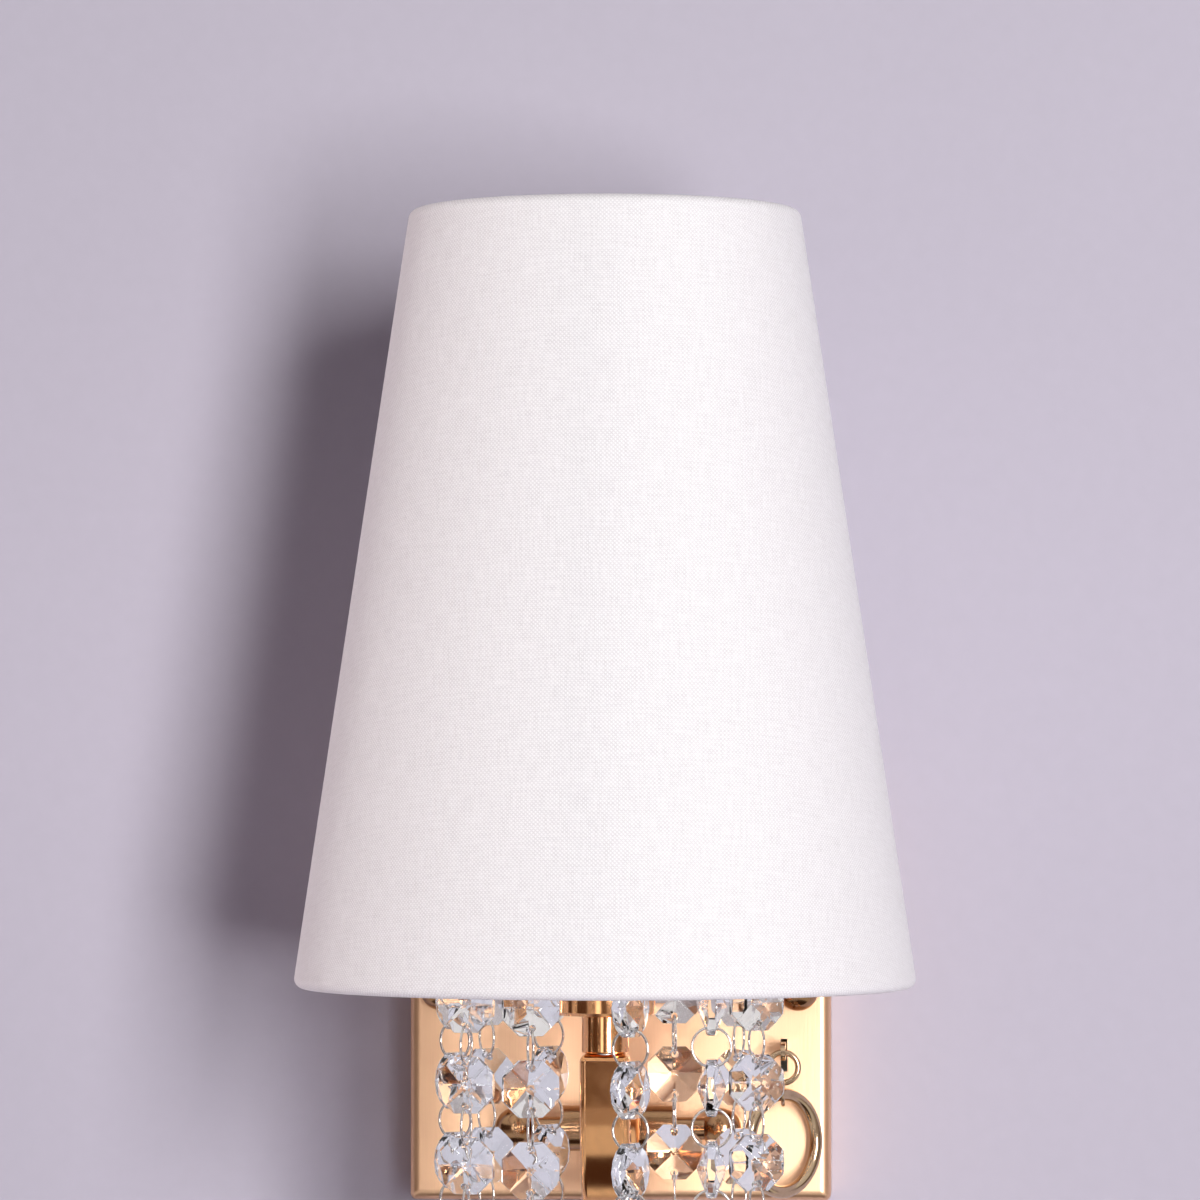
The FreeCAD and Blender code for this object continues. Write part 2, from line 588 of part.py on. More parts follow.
def make_pull_tongue():
    """Brass tongue that slides down out of the switch, with an eye in its round end."""
    side = "pull_offset - tongue_thick / 2"
    strip = block("tongue_strip", (side, "pull_offset + tongue_thick / 2"),
                  (f"{PLATE_INSIDE} - tongue_tail", PULL_OUT), (TONGUE_LOW, TONGUE_HIGH))
    nose = bar("tongue_nose", "tongue_height / 2", "tongue_thick", (side, PULL_OUT, "pull_height"), "right")
    eye = bar("tongue_eye_hole", "tongue_eye", "tongue_thick", (side, PULL_OUT, "pull_height"), "right")
    keep(cut("pull_tongue", fused("tongue_blank", [strip, nose]), [eye]))


def make_pull_chain():
    """First link in the tongue's eye, second link at right angles to it, and the pull ring."""
    keep(ring("upper_link", "link_radius", "link_wire", ("pull_offset", PULL_OUT, LINK_HEIGHT), "out"))
    keep(ring("lower_link", "joiner_radius", "joiner_wire", ("pull_offset", PULL_OUT, JOINER_HEIGHT),
              "right"))
    flat_on = ring("pull_ring_front_on", "pull_ring_radius", "pull_ring_wire", ("0", "0", "0"), "out")
    keep(grouped("ring_pull", [flat_on], "pull_ring_turn",
                 ("pull_offset", PULL_OUT, f"{PULL_RING_TOP} - pull_ring_radius")))


# ---------------------------------------------------------------------------------------------
# Crossbar, root tube and arm


def make_crossbar():
    """Turned crossbar: thick middle with a spigot on the plate, thin ends with balls, arm pocket."""
    low = "-root_drop"
    on_plate = ("0", "plate_depth", low)
    thick = bar("bar_middle", "barrel_radius", "barrel_length",
                ("-barrel_length / 2", ROOT_OUT, low), "right")
    thin = bar("bar_rod", "rod_radius", "ball_spacing", ("-ball_spacing / 2", ROOT_OUT, low), "right")
    spigot = bar("bar_spigot", "root_tube_radius + spigot_wall", "root_stand", on_plate, "out")
    balls = [ball(f"{word}_end_ball", "ball_radius", (f"{sign}ball_spacing / 2", ROOT_OUT, low), "right")
             for word, sign in SIDES]
    threaded = bar("bar_threaded_hole", "root_tube_radius + fit", "root_stand + root_tube_tip + fit",
                   on_plate, "out")
    wire_way = bar("bar_wire_way", "root_tube_bore", "barrel_radius", ("0", ROOT_OUT, low), "out")
    front = f"({ROOT_OUT} + barrel_radius)"
    seat = block("arm_seat_pocket", ("-arm_width / 2 - fit", "arm_width / 2 + fit"),
                 (f"{front} - arm_seat", front),
                 ("-root_drop - arm_thick / 2 - fit", "-root_drop + arm_thick / 2 + fit"))
    keep(cut("crossbar", fused("bar_blank", [thick, thin, spigot] + balls), [threaded, wire_way, seat]))


def make_root_tube():
    """Threaded tube from the crossbar through the plate, and the lock nut on it."""
    back = f"({PLATE_INSIDE} - root_tube_tail)"
    length = f"{ROOT_OUT} + root_tube_tip - {back}"
    outer = bar("root_tube_outside", "root_tube_radius", length, ("0", back, "-root_drop"), "out")
    inner = bar("root_tube_inside", "root_tube_bore", length, ("0", back, "-root_drop"), "out")
    keep(cut("root_tube", outer, [inner]))
    nut_back = f"{PLATE_INSIDE} - nut_thick"
    across = {"Circumradius": "nut_flats / 2 / cos(30)", "Height": "nut_thick"}
    hexagon = primitive("Prism", "root_nut_hexagon", across, ("0", nut_back, "-root_drop"), "out")
    hexagon.Polygon = 6
    bore = bar("root_nut_bore", "root_tube_radius + fit", "nut_thick", ("0", nut_back, "-root_drop"), "out")
    keep(cut("root_lock_nut", hexagon, [bore]))


def arm_start():
    """How far out from the wall the arm begins, at the bottom of its seat in the crossbar."""
    return f"({ROOT_OUT} + barrel_radius - arm_seat + fit)"


def arm_turning():
    """How far the arm's two bends reach, from the end of its first straight to the lamp axis."""
    return "((arm_dip_radius + arm_rise_radius) * sin(arm_dip_angle) + arm_rise_radius)"


def arm_places(sideways=0.0):
    """The ends, middles and centres of the arm's two bends, as points."""
    dip, rise = size("arm_dip_radius"), size("arm_rise_radius")
    angle = math.radians(size("arm_dip_angle"))
    turning = (dip + rise) * math.sin(angle) + rise
    dip_start = Vector(sideways, turning - lamp_reach_number(), -size("root_drop"))
    dip_centre = dip_start - Z_AXIS * dip
    slope = Vector(0, -math.sin(angle), math.cos(angle))
    slope_end = dip_centre + slope * dip
    rise_centre = slope_end + slope * rise
    rise_end = rise_centre - Y_AXIS * rise
    half_dip = Vector(0, -math.sin(angle / 2), math.cos(angle / 2))
    half_rise = (math.pi / 2 - angle) / 2
    rise_middle = rise_centre + Vector(0, -math.sin(half_rise), -math.cos(half_rise)) * rise
    return {"dip_start": dip_start, "dip_centre": dip_centre, "dip_middle": dip_centre + half_dip * dip,
            "slope_end": slope_end, "rise_centre": rise_centre, "rise_middle": rise_middle,
            "rise_end": rise_end}


def arm_line(body):
    """Sketch of the arm's centre line, seen from its side: out, dipping, rising, then straight up."""
    sketch = sketch_in(body, "arm_centre_line", "YZ_Plane")
    flat = {name: Vector(point.y, point.z, 0) for name, point in arm_places().items()}
    angle = size("arm_dip_angle")
    begin = Vector(-arm_start_number(), flat["dip_start"].y, 0)
    end = Vector(flat["rise_end"].x, size("arm_top"), 0)
    dip = Part.Circle(flat["dip_centre"], Z_AXIS, size("arm_dip_radius"))
    rise = Part.Circle(flat["rise_centre"], Z_AXIS, size("arm_rise_radius"))
    sketch.addGeometry(Part.LineSegment(begin, flat["dip_start"]))
    sketch.addGeometry(Part.ArcOfCircle(dip, math.radians(90), math.radians(90 + angle)))
    sketch.addGeometry(Part.ArcOfCircle(rise, math.radians(180), math.radians(270 + angle)))
    sketch.addGeometry(Part.LineSegment(flat["rise_end"], end))
    sketch.addConstraint(Sketcher.Constraint("Tangent", 0, 2, 1, 1))
    sketch.addConstraint(Sketcher.Constraint("Tangent", 1, 2, 2, 2))
    sketch.addConstraint(Sketcher.Constraint("Tangent", 2, 1, 3, 1))
    sketch.addConstraint(Sketcher.Constraint("Horizontal", 0))
    sketch.addConstraint(Sketcher.Constraint("Vertical", 3))
    fix(sketch, Sketcher.Constraint("DistanceX", -1, 1, 0, 1, begin.x), f"-{arm_start()}")
    fix(sketch, Sketcher.Constraint("DistanceY", -1, 1, 0, 1, begin.y), "-root_drop")
    fix(sketch, Sketcher.Constraint("DistanceX", -1, 1, 1, 1, flat["dip_start"].x),
        f"{arm_turning()} - {LAMP_REACH}")
    fix(sketch, Sketcher.Constraint("Radius", 1, size("arm_dip_radius")), "arm_dip_radius")
    fix(sketch, Sketcher.Constraint("Radius", 2, size("arm_rise_radius")), "arm_rise_radius")
    fix(sketch, Sketcher.Constraint("DistanceX", -1, 1, 3, 2, end.x), f"-{LAMP_REACH}")
    fix(sketch, Sketcher.Constraint("DistanceY", -1, 1, 3, 2, end.y), "arm_top")
    return sketch


def pipe(body, kind, name, section, line):
    """Carries a section along the arm's centre line, adding or taking away."""
    feature = body.newObject(f"PartDesign::{kind}Pipe", name)
    feature.Profile = section
    feature.Spine = (line, ["Edge1", "Edge2", "Edge3", "Edge4"])
    return feature


def make_arm():
    """Hollow arm, let into the crossbar and rising to the neck with a rounded top end."""
    body = doc.addObject("PartDesign::Body", "arm")
    line = arm_line(body)
    section = outline(body, "arm_section", "XZ_Plane", rectangle(
        "-arm_width / 2", "arm_width / 2", "-root_drop - arm_thick / 2", "-root_drop + arm_thick / 2"),
        arm_start())
    sweep = pipe(body, "Additive", "arm_sweep", section, line)
    root, top = arm_start_number(), size("arm_top")

    def is_long(edge):
        """True for the edges that run along the arm."""
        box = edge.BoundBox
        return box.XLength < 0.01 and box.YMin < -root - 0.01 and box.ZMin < top - 0.01

    softened = round_edges(body, sweep, "arm_edge", "arm_long_edges", is_long)
    round_edges(body, softened, "arm_end_round", "arm_top_edge", lambda edge: edge.BoundBox.ZMin > top - 0.01)
    way = circles(body, "arm_way_section", "XZ_Plane", [("0", "-root_drop", "arm_bore")], arm_start())
    pipe(body, "Subtractive", "arm_way", way, line)
    seat = circles(body, "top_tube_seat", "XY_Plane", [("0", f"-{LAMP_REACH}", "top_tube_radius + fit")],
                   "arm_top")
    pocket(body, seat, "top_tube_grip", "top_tube_hole", outwards=False)
    keep(body)


def arm_start_number():
    """The arm's beginning as a number, for picking out its edges."""
    return size("plate_depth") + size("root_stand") + size("barrel_radius") - size("arm_seat") + size("fit")


# ---------------------------------------------------------------------------------------------
# Neck, cup, hoop, lampholder and bulb


def make_column():
    """The turned pieces on the lamp's axis, from the arm's end up to the lampholder's shell."""
    bore = "top_tube_radius + fit"
    boss = "top_tube_radius + cup_boss_wall"
    keep(turned("neck", [
        (bore, "arm_top"), ("neck_radius - neck_chamfer", "arm_top"),
        ("neck_radius", "arm_top + neck_chamfer"),
        ("neck_radius", f"{CUP_LOW} - neck_chamfer"), ("neck_radius - neck_chamfer", CUP_LOW),
        (bore, CUP_LOW)]))
    keep(turned("cup", [
        (bore, CUP_LOW), ("cup_radius - cup_foot_chamfer", CUP_LOW),
        ("cup_radius", f"{CUP_LOW} + cup_foot_chamfer"), ("cup_radius", f"{HUB_LOW} - cup_rim_chamfer"),
        ("cup_radius - cup_rim_chamfer", HUB_LOW), ("cup_radius - cup_wall", HUB_LOW),
        ("cup_radius - cup_wall", f"{HUB_LOW} - cup_wall"), (boss, f"{HUB_LOW} - cup_wall"),
        (boss, HUB_LOW), (bore, HUB_LOW)]))
    keep(turned("top_tube", rectangle("top_tube_bore", "top_tube_radius", "arm_top - top_tube_grip",
                                      f"{BASE_LOW} + top_tube_rise")))


def make_lampholder():
    """White lampholder: base, ceramic insert with its contact, screw shell and threaded skirt."""
    inner = "(base_radius - holder_wall)"
    keep(turned("lampholder_base", [
        ("top_tube_radius + fit", BASE_LOW), ("base_radius - base_chamfer", BASE_LOW),
        ("base_radius", f"{BASE_LOW} + base_chamfer"),
        ("base_radius", SKIRT_LOW), (inner, SKIRT_LOW), (inner, f"{BASE_LOW} + base_floor"),
        ("top_tube_radius + fit", f"{BASE_LOW} + base_floor")]))
    bore = "(skirt_radius - holder_wall)"
    keep(turned("lampholder_skirt", [
        (bore, SKIRT_LOW), ("skirt_radius", SKIRT_LOW), ("skirt_radius", f"{SKIRT_HIGH} - skirt_chamfer"),
        ("skirt_radius - skirt_chamfer", SKIRT_HIGH), (f"{bore} - skirt_lip", SKIRT_HIGH),
        (f"{bore} - skirt_lip", f"{SKIRT_HIGH} - holder_wall"), (bore, f"{SKIRT_HIGH} - holder_wall")]))
    pit = f"{INSERT_HIGH} - contact_pit"
    keep(turned("lampholder_insert", [
        ("0", INSERT_LOW), (f"{inner} - fit", INSERT_LOW), (f"{inner} - fit", INSERT_HIGH),
        ("contact_radius + gap", INSERT_HIGH), ("contact_radius + gap", pit), ("0", pit)]))
    keep(turned("centre_contact", rectangle("0", "contact_radius", pit, f"{CAP_FOOT} - tip_height - gap")))
    keep(turned("screw_shell", rectangle("shell_radius - shell_wall", "shell_radius", INSERT_HIGH,
                                         f"{INSERT_HIGH} + shell_height")))


def make_shade_rings():
    """Two alike threaded rings on the skirt, below and above the shade's centre ring."""
    shape = turned("shade_ring_shape", [
        ("skirt_radius + fit", "0"), ("shade_ring_radius - shade_ring_chamfer", "0"),
        ("shade_ring_radius", "shade_ring_chamfer"),
        ("shade_ring_radius", "shade_ring_thick - shade_ring_chamfer"),
        ("shade_ring_radius - shade_ring_chamfer", "shade_ring_thick"),
        ("skirt_radius + fit", "shade_ring_thick")], on_lamp_axis=False)
    lower = grouped("lower_shade_ring", [shape], place=("0", LAMP_REACH, "shade_seat - shade_ring_thick"))
    upper = grouped("upper_shade_ring", [shape], place=("0", LAMP_REACH, "shade_seat + carrier_thick"))
    keep(grouped("shade_rings", [lower, upper]))


def make_bulb_base():
    """The bulb's solder tip, its glass insulator and its cap."""
    top = f"({CAP_LOW} + cap_height)"
    foot = "cap_radius - cap_taper"
    keep(turned("bulb_tip", [
        ("0", f"{CAP_FOOT} - tip_height"), ("tip_radius - tip_chamfer", f"{CAP_FOOT} - tip_height"),
        ("tip_radius", CAP_FOOT), ("0", CAP_FOOT)]))
    keep(turned("bulb_insulator", [
        ("0", CAP_FOOT), ("tip_radius", CAP_FOOT), (foot, CAP_LOW), ("0", CAP_LOW)]))
    keep(turned("bulb_cap", [("0", CAP_LOW), (foot, CAP_LOW), ("cap_radius", f"{CAP_LOW} + cap_taper"),
                             ("cap_radius", top), ("0", top)]))


def bulb_outline(inset):
    """Half section of a candle bulb, or of its hollow: neck, swelling, shoulder and small round tip."""
    neck = size("cap_radius") - size("bulb_neck_step") - inset
    wide = size("bulb_radius") - inset
    tall = size("bulb_length") - inset
    tip = size("bulb_tip_round") - inset
    straight = size("bulb_straight")
    belly = size("bulb_belly")

    def swell(side_gap, rise):
        """Radius of the arc that is upright at the widest place and passes the other point."""
        return (side_gap ** 2 + rise ** 2) / (2 * side_gap)

    def bulge(radius, above):
        """A point of such an arc, at a height above the widest place."""
        return Vector(wide - radius + math.sqrt(radius ** 2 - above ** 2), 0, belly + above)

    turn = math.radians(size("bulb_tip_turn"))
    tip_start, tip_middle = [Vector(tip * math.sin(part), 0, tall - tip + tip * math.cos(part))
                             for part in (turn, turn / 2)]
    lower = swell(wide - neck, belly - straight)
    upper = swell(wide - tip_start.x, tip_start.z - belly)
    neck_top = Vector(neck, 0, straight)
    widest = Vector(wide, 0, belly)
    peak = Vector(0, 0, tall)
    edges = [Part.makeLine(Vector(), Vector(neck, 0, 0)),
             Part.makeLine(Vector(neck, 0, 0), neck_top),
             Part.Arc(neck_top, bulge(lower, (straight - belly) / 2), widest).toShape(),
             Part.Arc(widest, bulge(upper, (tip_start.z - belly) / 2), tip_start).toShape(),
             Part.Arc(tip_start, tip_middle, peak).toShape(),
             Part.makeLine(peak, Vector())]
    return Part.Face(Part.Wire(edges))


def make_bulb_glass():
    """Opal candle glass, a blown shell that is open where its neck stands on the cap."""
    sections = (bulb_outline(0.0), bulb_outline(size("bulb_wall")))
    blown = [face.revolve(Vector(), Z_AXIS, 360) for face in sections]
    glass = shaped("bulb_glass", blown[0].cut(blown[1]))
    keep(bind(glass, {"Placement.Base.y": f"-{LAMP_REACH}", "Placement.Base.z": f"{CAP_LOW} + cap_height"}))


def make_hoop():
    """Hoop, three spokes and hub washer, brazed into one piece."""
    wire = ring("hoop_ring", "hoop_radius", "hoop_wire", ("0", LAMP_REACH, HOOP_HEIGHT), "up")
    washer = bar("hoop_washer", "hub_radius", "hub_thick", ("0", LAMP_REACH, HUB_LOW), "up")
    spoke = block("hoop_spoke", ("-spoke_width / 2", "spoke_width / 2"), ("hub_radius / 2", "hoop_radius"),
                  ("0", "hub_thick"))
    spokes = [grouped(f"hoop_spoke_{number}", [spoke], f"{angle}", ("0", LAMP_REACH, HUB_LOW))
              for number, angle in enumerate(SPOKES, 1)]
    hole = bar("hoop_washer_hole", "top_tube_radius + fit", "hub_thick", ("0", LAMP_REACH, HUB_LOW), "up")
    keep(cut("crystal_hoop", fused("hoop_blank", [wire, washer] + spokes), [hole]))


# ---------------------------------------------------------------------------------------------
# Crystal strings


def bead_shape():
    """One octagon crystal: eight kite facets on each face and a thin faceted edge, with two holes."""
    flat = size("bead_flats") / 2
    peak = size("bead_peak")
    edge = size("bead_edge")
    eighth = math.pi / 4
    corner = flat / math.cos(eighth / 2)
    corner_edge = peak - (peak - edge) / math.cos(eighth / 2) ** 2

    def at(radius, turn, depth):
        """A point of the crystal, which stands upright and faces the front."""
        return Vector(radius * math.cos(turn * eighth), depth, radius * math.sin(turn * eighth))

    faces = []
    for step in range(8):
        for side in (1, -1):
            kite = [at(0, 0, side * peak), at(flat, step, side * edge),
                    at(corner, step + 0.5, side * corner_edge), at(flat, step + 1, side * edge)]
            faces.append(Part.Face(Part.makePolygon(kite + kite[:1])))
        belt = [at(corner, step - 0.5, corner_edge), at(flat, step, edge),
                at(corner, step + 0.5, corner_edge), at(corner, step + 0.5, -corner_edge),
                at(flat, step, -edge), at(corner, step - 0.5, -corner_edge)]
        faces.append(Part.Face(Part.makePolygon(belt + belt[:1])))
    solid = Part.makeSolid(Part.makeShell(faces))
    if solid.Volume < 0:
        solid.reverse()
    for side in (-1, 1):
        start = Vector(0, -peak, side * size("bead_hole_offset"))
        solid = solid.cut(Part.makeCylinder(size("bead_hole"), 2 * peak, start, Y_AXIS))
    return solid.Solids[0]


def make_strings():
    """Ten strings: a ring over the hoop, then crystals and rings in turn, all hanging straight."""
    crystal = bead_shape()
    crystals = []
    links = []
    for number in range(round(size("bead_count"))):
        fall = f"{number} * {BEAD_PITCH}"
        links.append(ring(f"string_ring_{number + 1}", "ring_radius", "ring_wire", ("0", "0", f"-{fall}"),
                          "right"))
        bead = shaped(f"crystal_{number + 1}", crystal)
        crystals.append(bind(bead, {"Placement.Base.z": f"-({fall} + {BEAD_PITCH} / 2)"}))
    for name, _, _ in STRINGS:
        place = (f"hoop_radius * sin(place_{name})", f"{LAMP_REACH} + hoop_radius * cos(place_{name})",
                 TOP_RING_HEIGHT)
        keep(grouped(f"crystals_{name}", crystals, f"facing_{name}", place))
        keep(grouped(f"rings_{name}", links, f"facing_{name}", place))


# ---------------------------------------------------------------------------------------------
# Shade


def make_shade_skins():
    """Linen cover and stiff liner, both thin turned shells."""
    low = "shade_bottom"
    high = "(shade_bottom + shade_height)"
    for label, outside, inside in (("shade_cover", "0", "cover_thick"), ("shade_liner", "cover_thick", SKIN)):
        keep(turned(label, [(f"shade_low_radius - {inside}", low), (f"shade_low_radius - {outside}", low),
                            (f"shade_top_radius - {outside}", high), (f"shade_top_radius - {inside}", high)]))


def frame_ring_radius(height):
    """Centre line radius of a wire ring that lies inside the shade at a height above its lower edge."""
    slope = f"(shade_top_radius - shade_low_radius) * ({height}) / shade_height"
    return f"(shade_low_radius + {slope} - ({SKIN} + frame_wire + fit) * {SHADE_LEAN})"


def make_shade_frame():
    """Top wire ring, and the lower ring with three struts and the centre ring, welded together."""
    inset = "(frame_wire + frame_inset)"
    top = f"(shade_height - {inset})"
    keep(ring("shade_top_ring", frame_ring_radius(top), "frame_wire",
              ("0", LAMP_REACH, f"shade_bottom + {top}"), "up"))
    low_radius = frame_ring_radius(inset)
    low_height = f"(shade_bottom + {inset})"
    lower = ring("frame_low_ring", low_radius, "frame_wire", ("0", LAMP_REACH, low_height), "up")
    inner = "(skirt_radius + gap)"
    seat = ("0", LAMP_REACH, "shade_seat")
    centre_disc = bar("frame_centre_disc", f"{inner} + carrier_width", "carrier_thick", seat, "up")
    centre_hole = bar("frame_centre_hole", inner, "carrier_thick", seat, "up")
    centre = cut("frame_centre_ring", centre_disc, [centre_hole])
    run = f"({low_radius} - ({inner} + carrier_width - strut_bite))"
    climb = f"(shade_seat + carrier_thick / 2 - {low_height})"
    strut = bar("frame_strut", "strut_wire", f"sqrt({run} ^ 2 + {climb} ^ 2)",
                ("0", low_radius, low_height), "up")
    strut.Placement = Placement(Vector(), Rotation(Vector(-1, 0, 0), 1))
    bind(strut, {"Placement.Rotation.Angle": f"atan({run} / {climb})"})
    struts = [grouped(f"frame_strut_{number}", [strut], f"{angle}", ("0", LAMP_REACH, "0"))
              for number, angle in enumerate(STRUTS, 1)]
    keep(fused("shade_frame", [lower, centre] + struts))


# ---------------------------------------------------------------------------------------------
# Wires


def bent_path(points, radius):
    """Straight runs through the points, joined by tangent arcs of one radius."""
    edges = []
    start = points[0]
    for before, corner, after in zip(points, points[1:], points[2:]):
        came = (corner - before).normalize()
        goes = (after - corner).normalize()
        turn = came.getAngle(goes)
        setback = radius * math.tan(turn / 2)
        arc_start = corner - came * setback
        arc_end = corner + goes * setback
        inward = (goes - came).normalize()
        middle = corner + inward * (radius / math.cos(turn / 2) - radius)
        edges.append(Part.makeLine(start, arc_start))
        edges.append(Part.Arc(arc_start, middle, arc_end).toShape())
        start = arc_end
    edges.append(Part.makeLine(start, points[-1]))
    return edges


def along_arm(start, sideways, top):
    """A wire's way down the arm, beside its centre line, from a point at the arm's level."""
    places = arm_places(sideways)
    end = Vector(sideways, -lamp_reach_number(), top)
    return [Part.makeLine(start, places["dip_start"]),
            Part.Arc(places["dip_start"], places["dip_middle"], places["slope_end"]).toShape(),
            Part.Arc(places["slope_end"], places["rise_middle"], places["rise_end"]).toShape(),
            Part.makeLine(places["rise_end"], end)]


def make_wire(label, edges):
    """An insulated wire along a path of runs and arcs; its volume is compared with its length."""
    path = Part.Wire(edges)
    start = edges[0].Vertexes[0].Point
    heading = edges[0].Vertexes[-1].Point - start
    section = Part.Wire(Part.Circle(start, heading, size("wire_radius")).toShape())
    solid = path.makePipeShell([section], True, False).Solids[0]
    whole = math.pi * size("wire_radius") ** 2 * path.Length
    print(f"{label}: {path.Length:.1f} mm long, {solid.Volume / whole:.4f} of its section times its length")
    keep(shaped(label, solid))


def make_wires():
    """Supply, switched, neutral and earth wires on their real ways."""
    deep = -size("wire_plane")
    root = -size("root_drop")
    side = size("wire_radius") + size("gap")
    bend = size("wire_bend")
    block_low = size("block_rise")
    pole = size("pole_pitch")
    into_tube = -size("plate_depth")
    insert_low = (size("arm_top") + size("neck_height") + size("cup_height") + size("hub_thick")
                  + size("top_tube_rise") + size("base_floor"))

    neutral = bent_path([Vector(0, deep, block_low), Vector(0, deep, size("neutral_drop")),
                         Vector(-side, deep, size("neutral_low")), Vector(-side, deep, root),
                         Vector(-side, into_tube, root)], bend)
    make_wire("wire_neutral", neutral + along_arm(Vector(-side, into_tube, root), -side, insert_low))

    switch_left = size("pull_offset") - size("switch_width") / 2
    entry = size("pull_height") - size("tongue_height") / 2 - size("pull_travel") - size("switch_below") / 4
    level_end = switch_left - size("switched_run")
    fall_foot = switch_left - size("switched_fall")
    switched = bent_path([Vector(switch_left, deep, entry), Vector(level_end, deep, entry),
                          Vector(fall_foot, deep, root), Vector(side, deep, root),
                          Vector(side, into_tube, root)], bend)
    make_wire("wire_switched", switched + along_arm(Vector(side, into_tube, root), side, insert_low))

    switch_top = size("pull_height") + size("tongue_height") / 2 + size("switch_above")
    down = size("pull_offset") - size("switch_width") / 4
    level = switch_top + size("supply_rise")
    make_wire("wire_supply", bent_path([Vector(pole, deep, block_low), Vector(pole, deep, level),
                                        Vector(down, deep, level), Vector(down, deep, switch_top)], bend))

    barrel_top = Vector(-size("earth_offset"), deep, size("tag_rise") + size("barrel_tall"))
    halfway = (block_low + barrel_top.z) / 2
    make_wire("wire_earth", bent_path([Vector(-pole, deep, block_low), Vector(-pole, deep, halfway),
                                       Vector(barrel_top.x, deep, halfway), barrel_top],
                                      size("earth_bend")))


make_wall_bracket()
make_grommet()
make_studs()
make_cap_nuts()
make_backplate()
make_terminal_block()
make_earth()
make_switch()
make_pull_tongue()
make_pull_chain()
make_crossbar()
make_root_tube()
make_arm()
make_column()
make_hoop()
make_lampholder()
make_shade_rings()
make_bulb_base()
make_bulb_glass()
make_strings()
make_shade_skins()
make_shade_frame()
make_wires()
doc.recompute()

for item in doc.Objects:
    if "Invalid" in item.State or "Error" in item.State:
        raise RuntimeError(f"{item.Label} failed to build: {item.State}")
for item in finished:
    if item.Shape.isNull() or not item.Shape.isValid() or item.Shape.Volume <= 0:
        raise RuntimeError(f"{item.Label} has no sound shape")

os.makedirs("parts", exist_ok=True)
for item in finished:
    item.Shape.exportStep(f"parts/{item.Label}.step")
print(len(finished), "pieces written")
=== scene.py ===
import math

import bpy
import bmesh
import numpy as np
from bpy.props import FloatProperty, FloatVectorProperty, IntProperty, PointerProperty
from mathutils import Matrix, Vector


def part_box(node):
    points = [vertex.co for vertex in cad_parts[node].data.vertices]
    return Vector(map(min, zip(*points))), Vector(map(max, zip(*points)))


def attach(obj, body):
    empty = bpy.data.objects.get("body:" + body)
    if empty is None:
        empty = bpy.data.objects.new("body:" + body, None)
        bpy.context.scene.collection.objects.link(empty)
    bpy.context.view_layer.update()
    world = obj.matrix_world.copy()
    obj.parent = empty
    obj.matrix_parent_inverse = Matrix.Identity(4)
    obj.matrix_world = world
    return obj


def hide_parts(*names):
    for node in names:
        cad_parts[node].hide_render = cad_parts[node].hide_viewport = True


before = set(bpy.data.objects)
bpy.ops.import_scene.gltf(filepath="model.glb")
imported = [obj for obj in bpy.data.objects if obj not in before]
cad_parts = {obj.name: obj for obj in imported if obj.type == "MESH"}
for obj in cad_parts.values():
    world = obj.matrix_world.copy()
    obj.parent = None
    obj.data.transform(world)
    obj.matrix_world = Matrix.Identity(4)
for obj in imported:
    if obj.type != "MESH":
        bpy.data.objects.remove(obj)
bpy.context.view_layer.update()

bl_info = {
    "name": "Crystal wall sconce",
    "version": (1, 0, 0),
    "blender": (4, 5, 0),
    "location": "View3D > Sidebar > Sconce",
    "description": "Dresses the sconce's frame with linen, cut crystal, satin gold and its fittings",
    "category": "Object",
}

MM = 0.001
TURN = 2 * math.pi
UP = np.array([0, 0, 1.0])
STRINGS = "abcdefghij"

# Points round the lamp's axis in its turned pieces
CLOTH_SIDES = 288
FILM_SIDES = 192
SKIRT_SIDES = 96
CAP_SIDES = 72


def length(name, description, default):
    """A size in metres that a user can change."""
    return FloatProperty(name=name, description=description, default=default, unit="LENGTH")


def number(name, description, default):
    """A plain number that a user can change."""
    return FloatProperty(name=name, description=description, default=default)


def angle(name, description, degrees):
    """An angle that a user can change, with its default in degrees."""
    return FloatProperty(name=name, description=description, default=math.radians(degrees), subtype="ANGLE")


def tint(name, description, default):
    """A colour that a user can change."""
    return FloatVectorProperty(name=name, description=description, default=default, subtype="COLOR", size=3)


# ---- Places read from the frame


def node_points(name):
    """All corners of a CAD node's mesh, as an array of x, y, z in metres."""
    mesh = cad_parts[name].data
    flat = np.empty(len(mesh.vertices) * 3, np.float32)
    mesh.vertices.foreach_get("co", flat)
    return flat.reshape(-1, 3).astype(float)


def middle_of(name):
    """The middle of a CAD node's box."""
    low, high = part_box(name)
    return np.array((low + high) / 2)


def half_width(name):
    """Half the width of a CAD node's box, which is the radius of a turned piece."""
    low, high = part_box(name)
    return (high.x - low.x) / 2


def reach_at(name, height, within=0.4 * MM):
    """Largest distance from the lamp's axis of a node's corners near a height."""
    points = node_points(name)
    near = points[np.abs(points[:, 2] - height) < within]
    return float(np.hypot(*(near[:, :2] - middle_of("neck")[:2]).T).max())


def flat_way(name):
    """The level direction in which an upright ring is widest: the first axis of its corners' spread."""
    spread = np.cov(node_points(name)[:, :2].T)
    return np.array([*np.linalg.eigh(spread)[1][:, -1], 0.0])


# ---- Surfaces as whole arrays


def straight(first, last, steps):
    """Points first (1 - s) + last s, for s from 0 to 1."""
    share = np.linspace(0, 1, steps)[:, None]
    return first * (1 - share) + last * share


def arc(middle, radius, start, end, steps=19):
    """Points middle + radius (cos t, sin t), for t from start to end."""
    sweep = np.linspace(start, end, steps)
    return middle + radius * np.stack([np.cos(sweep), np.sin(sweep)], axis=-1)


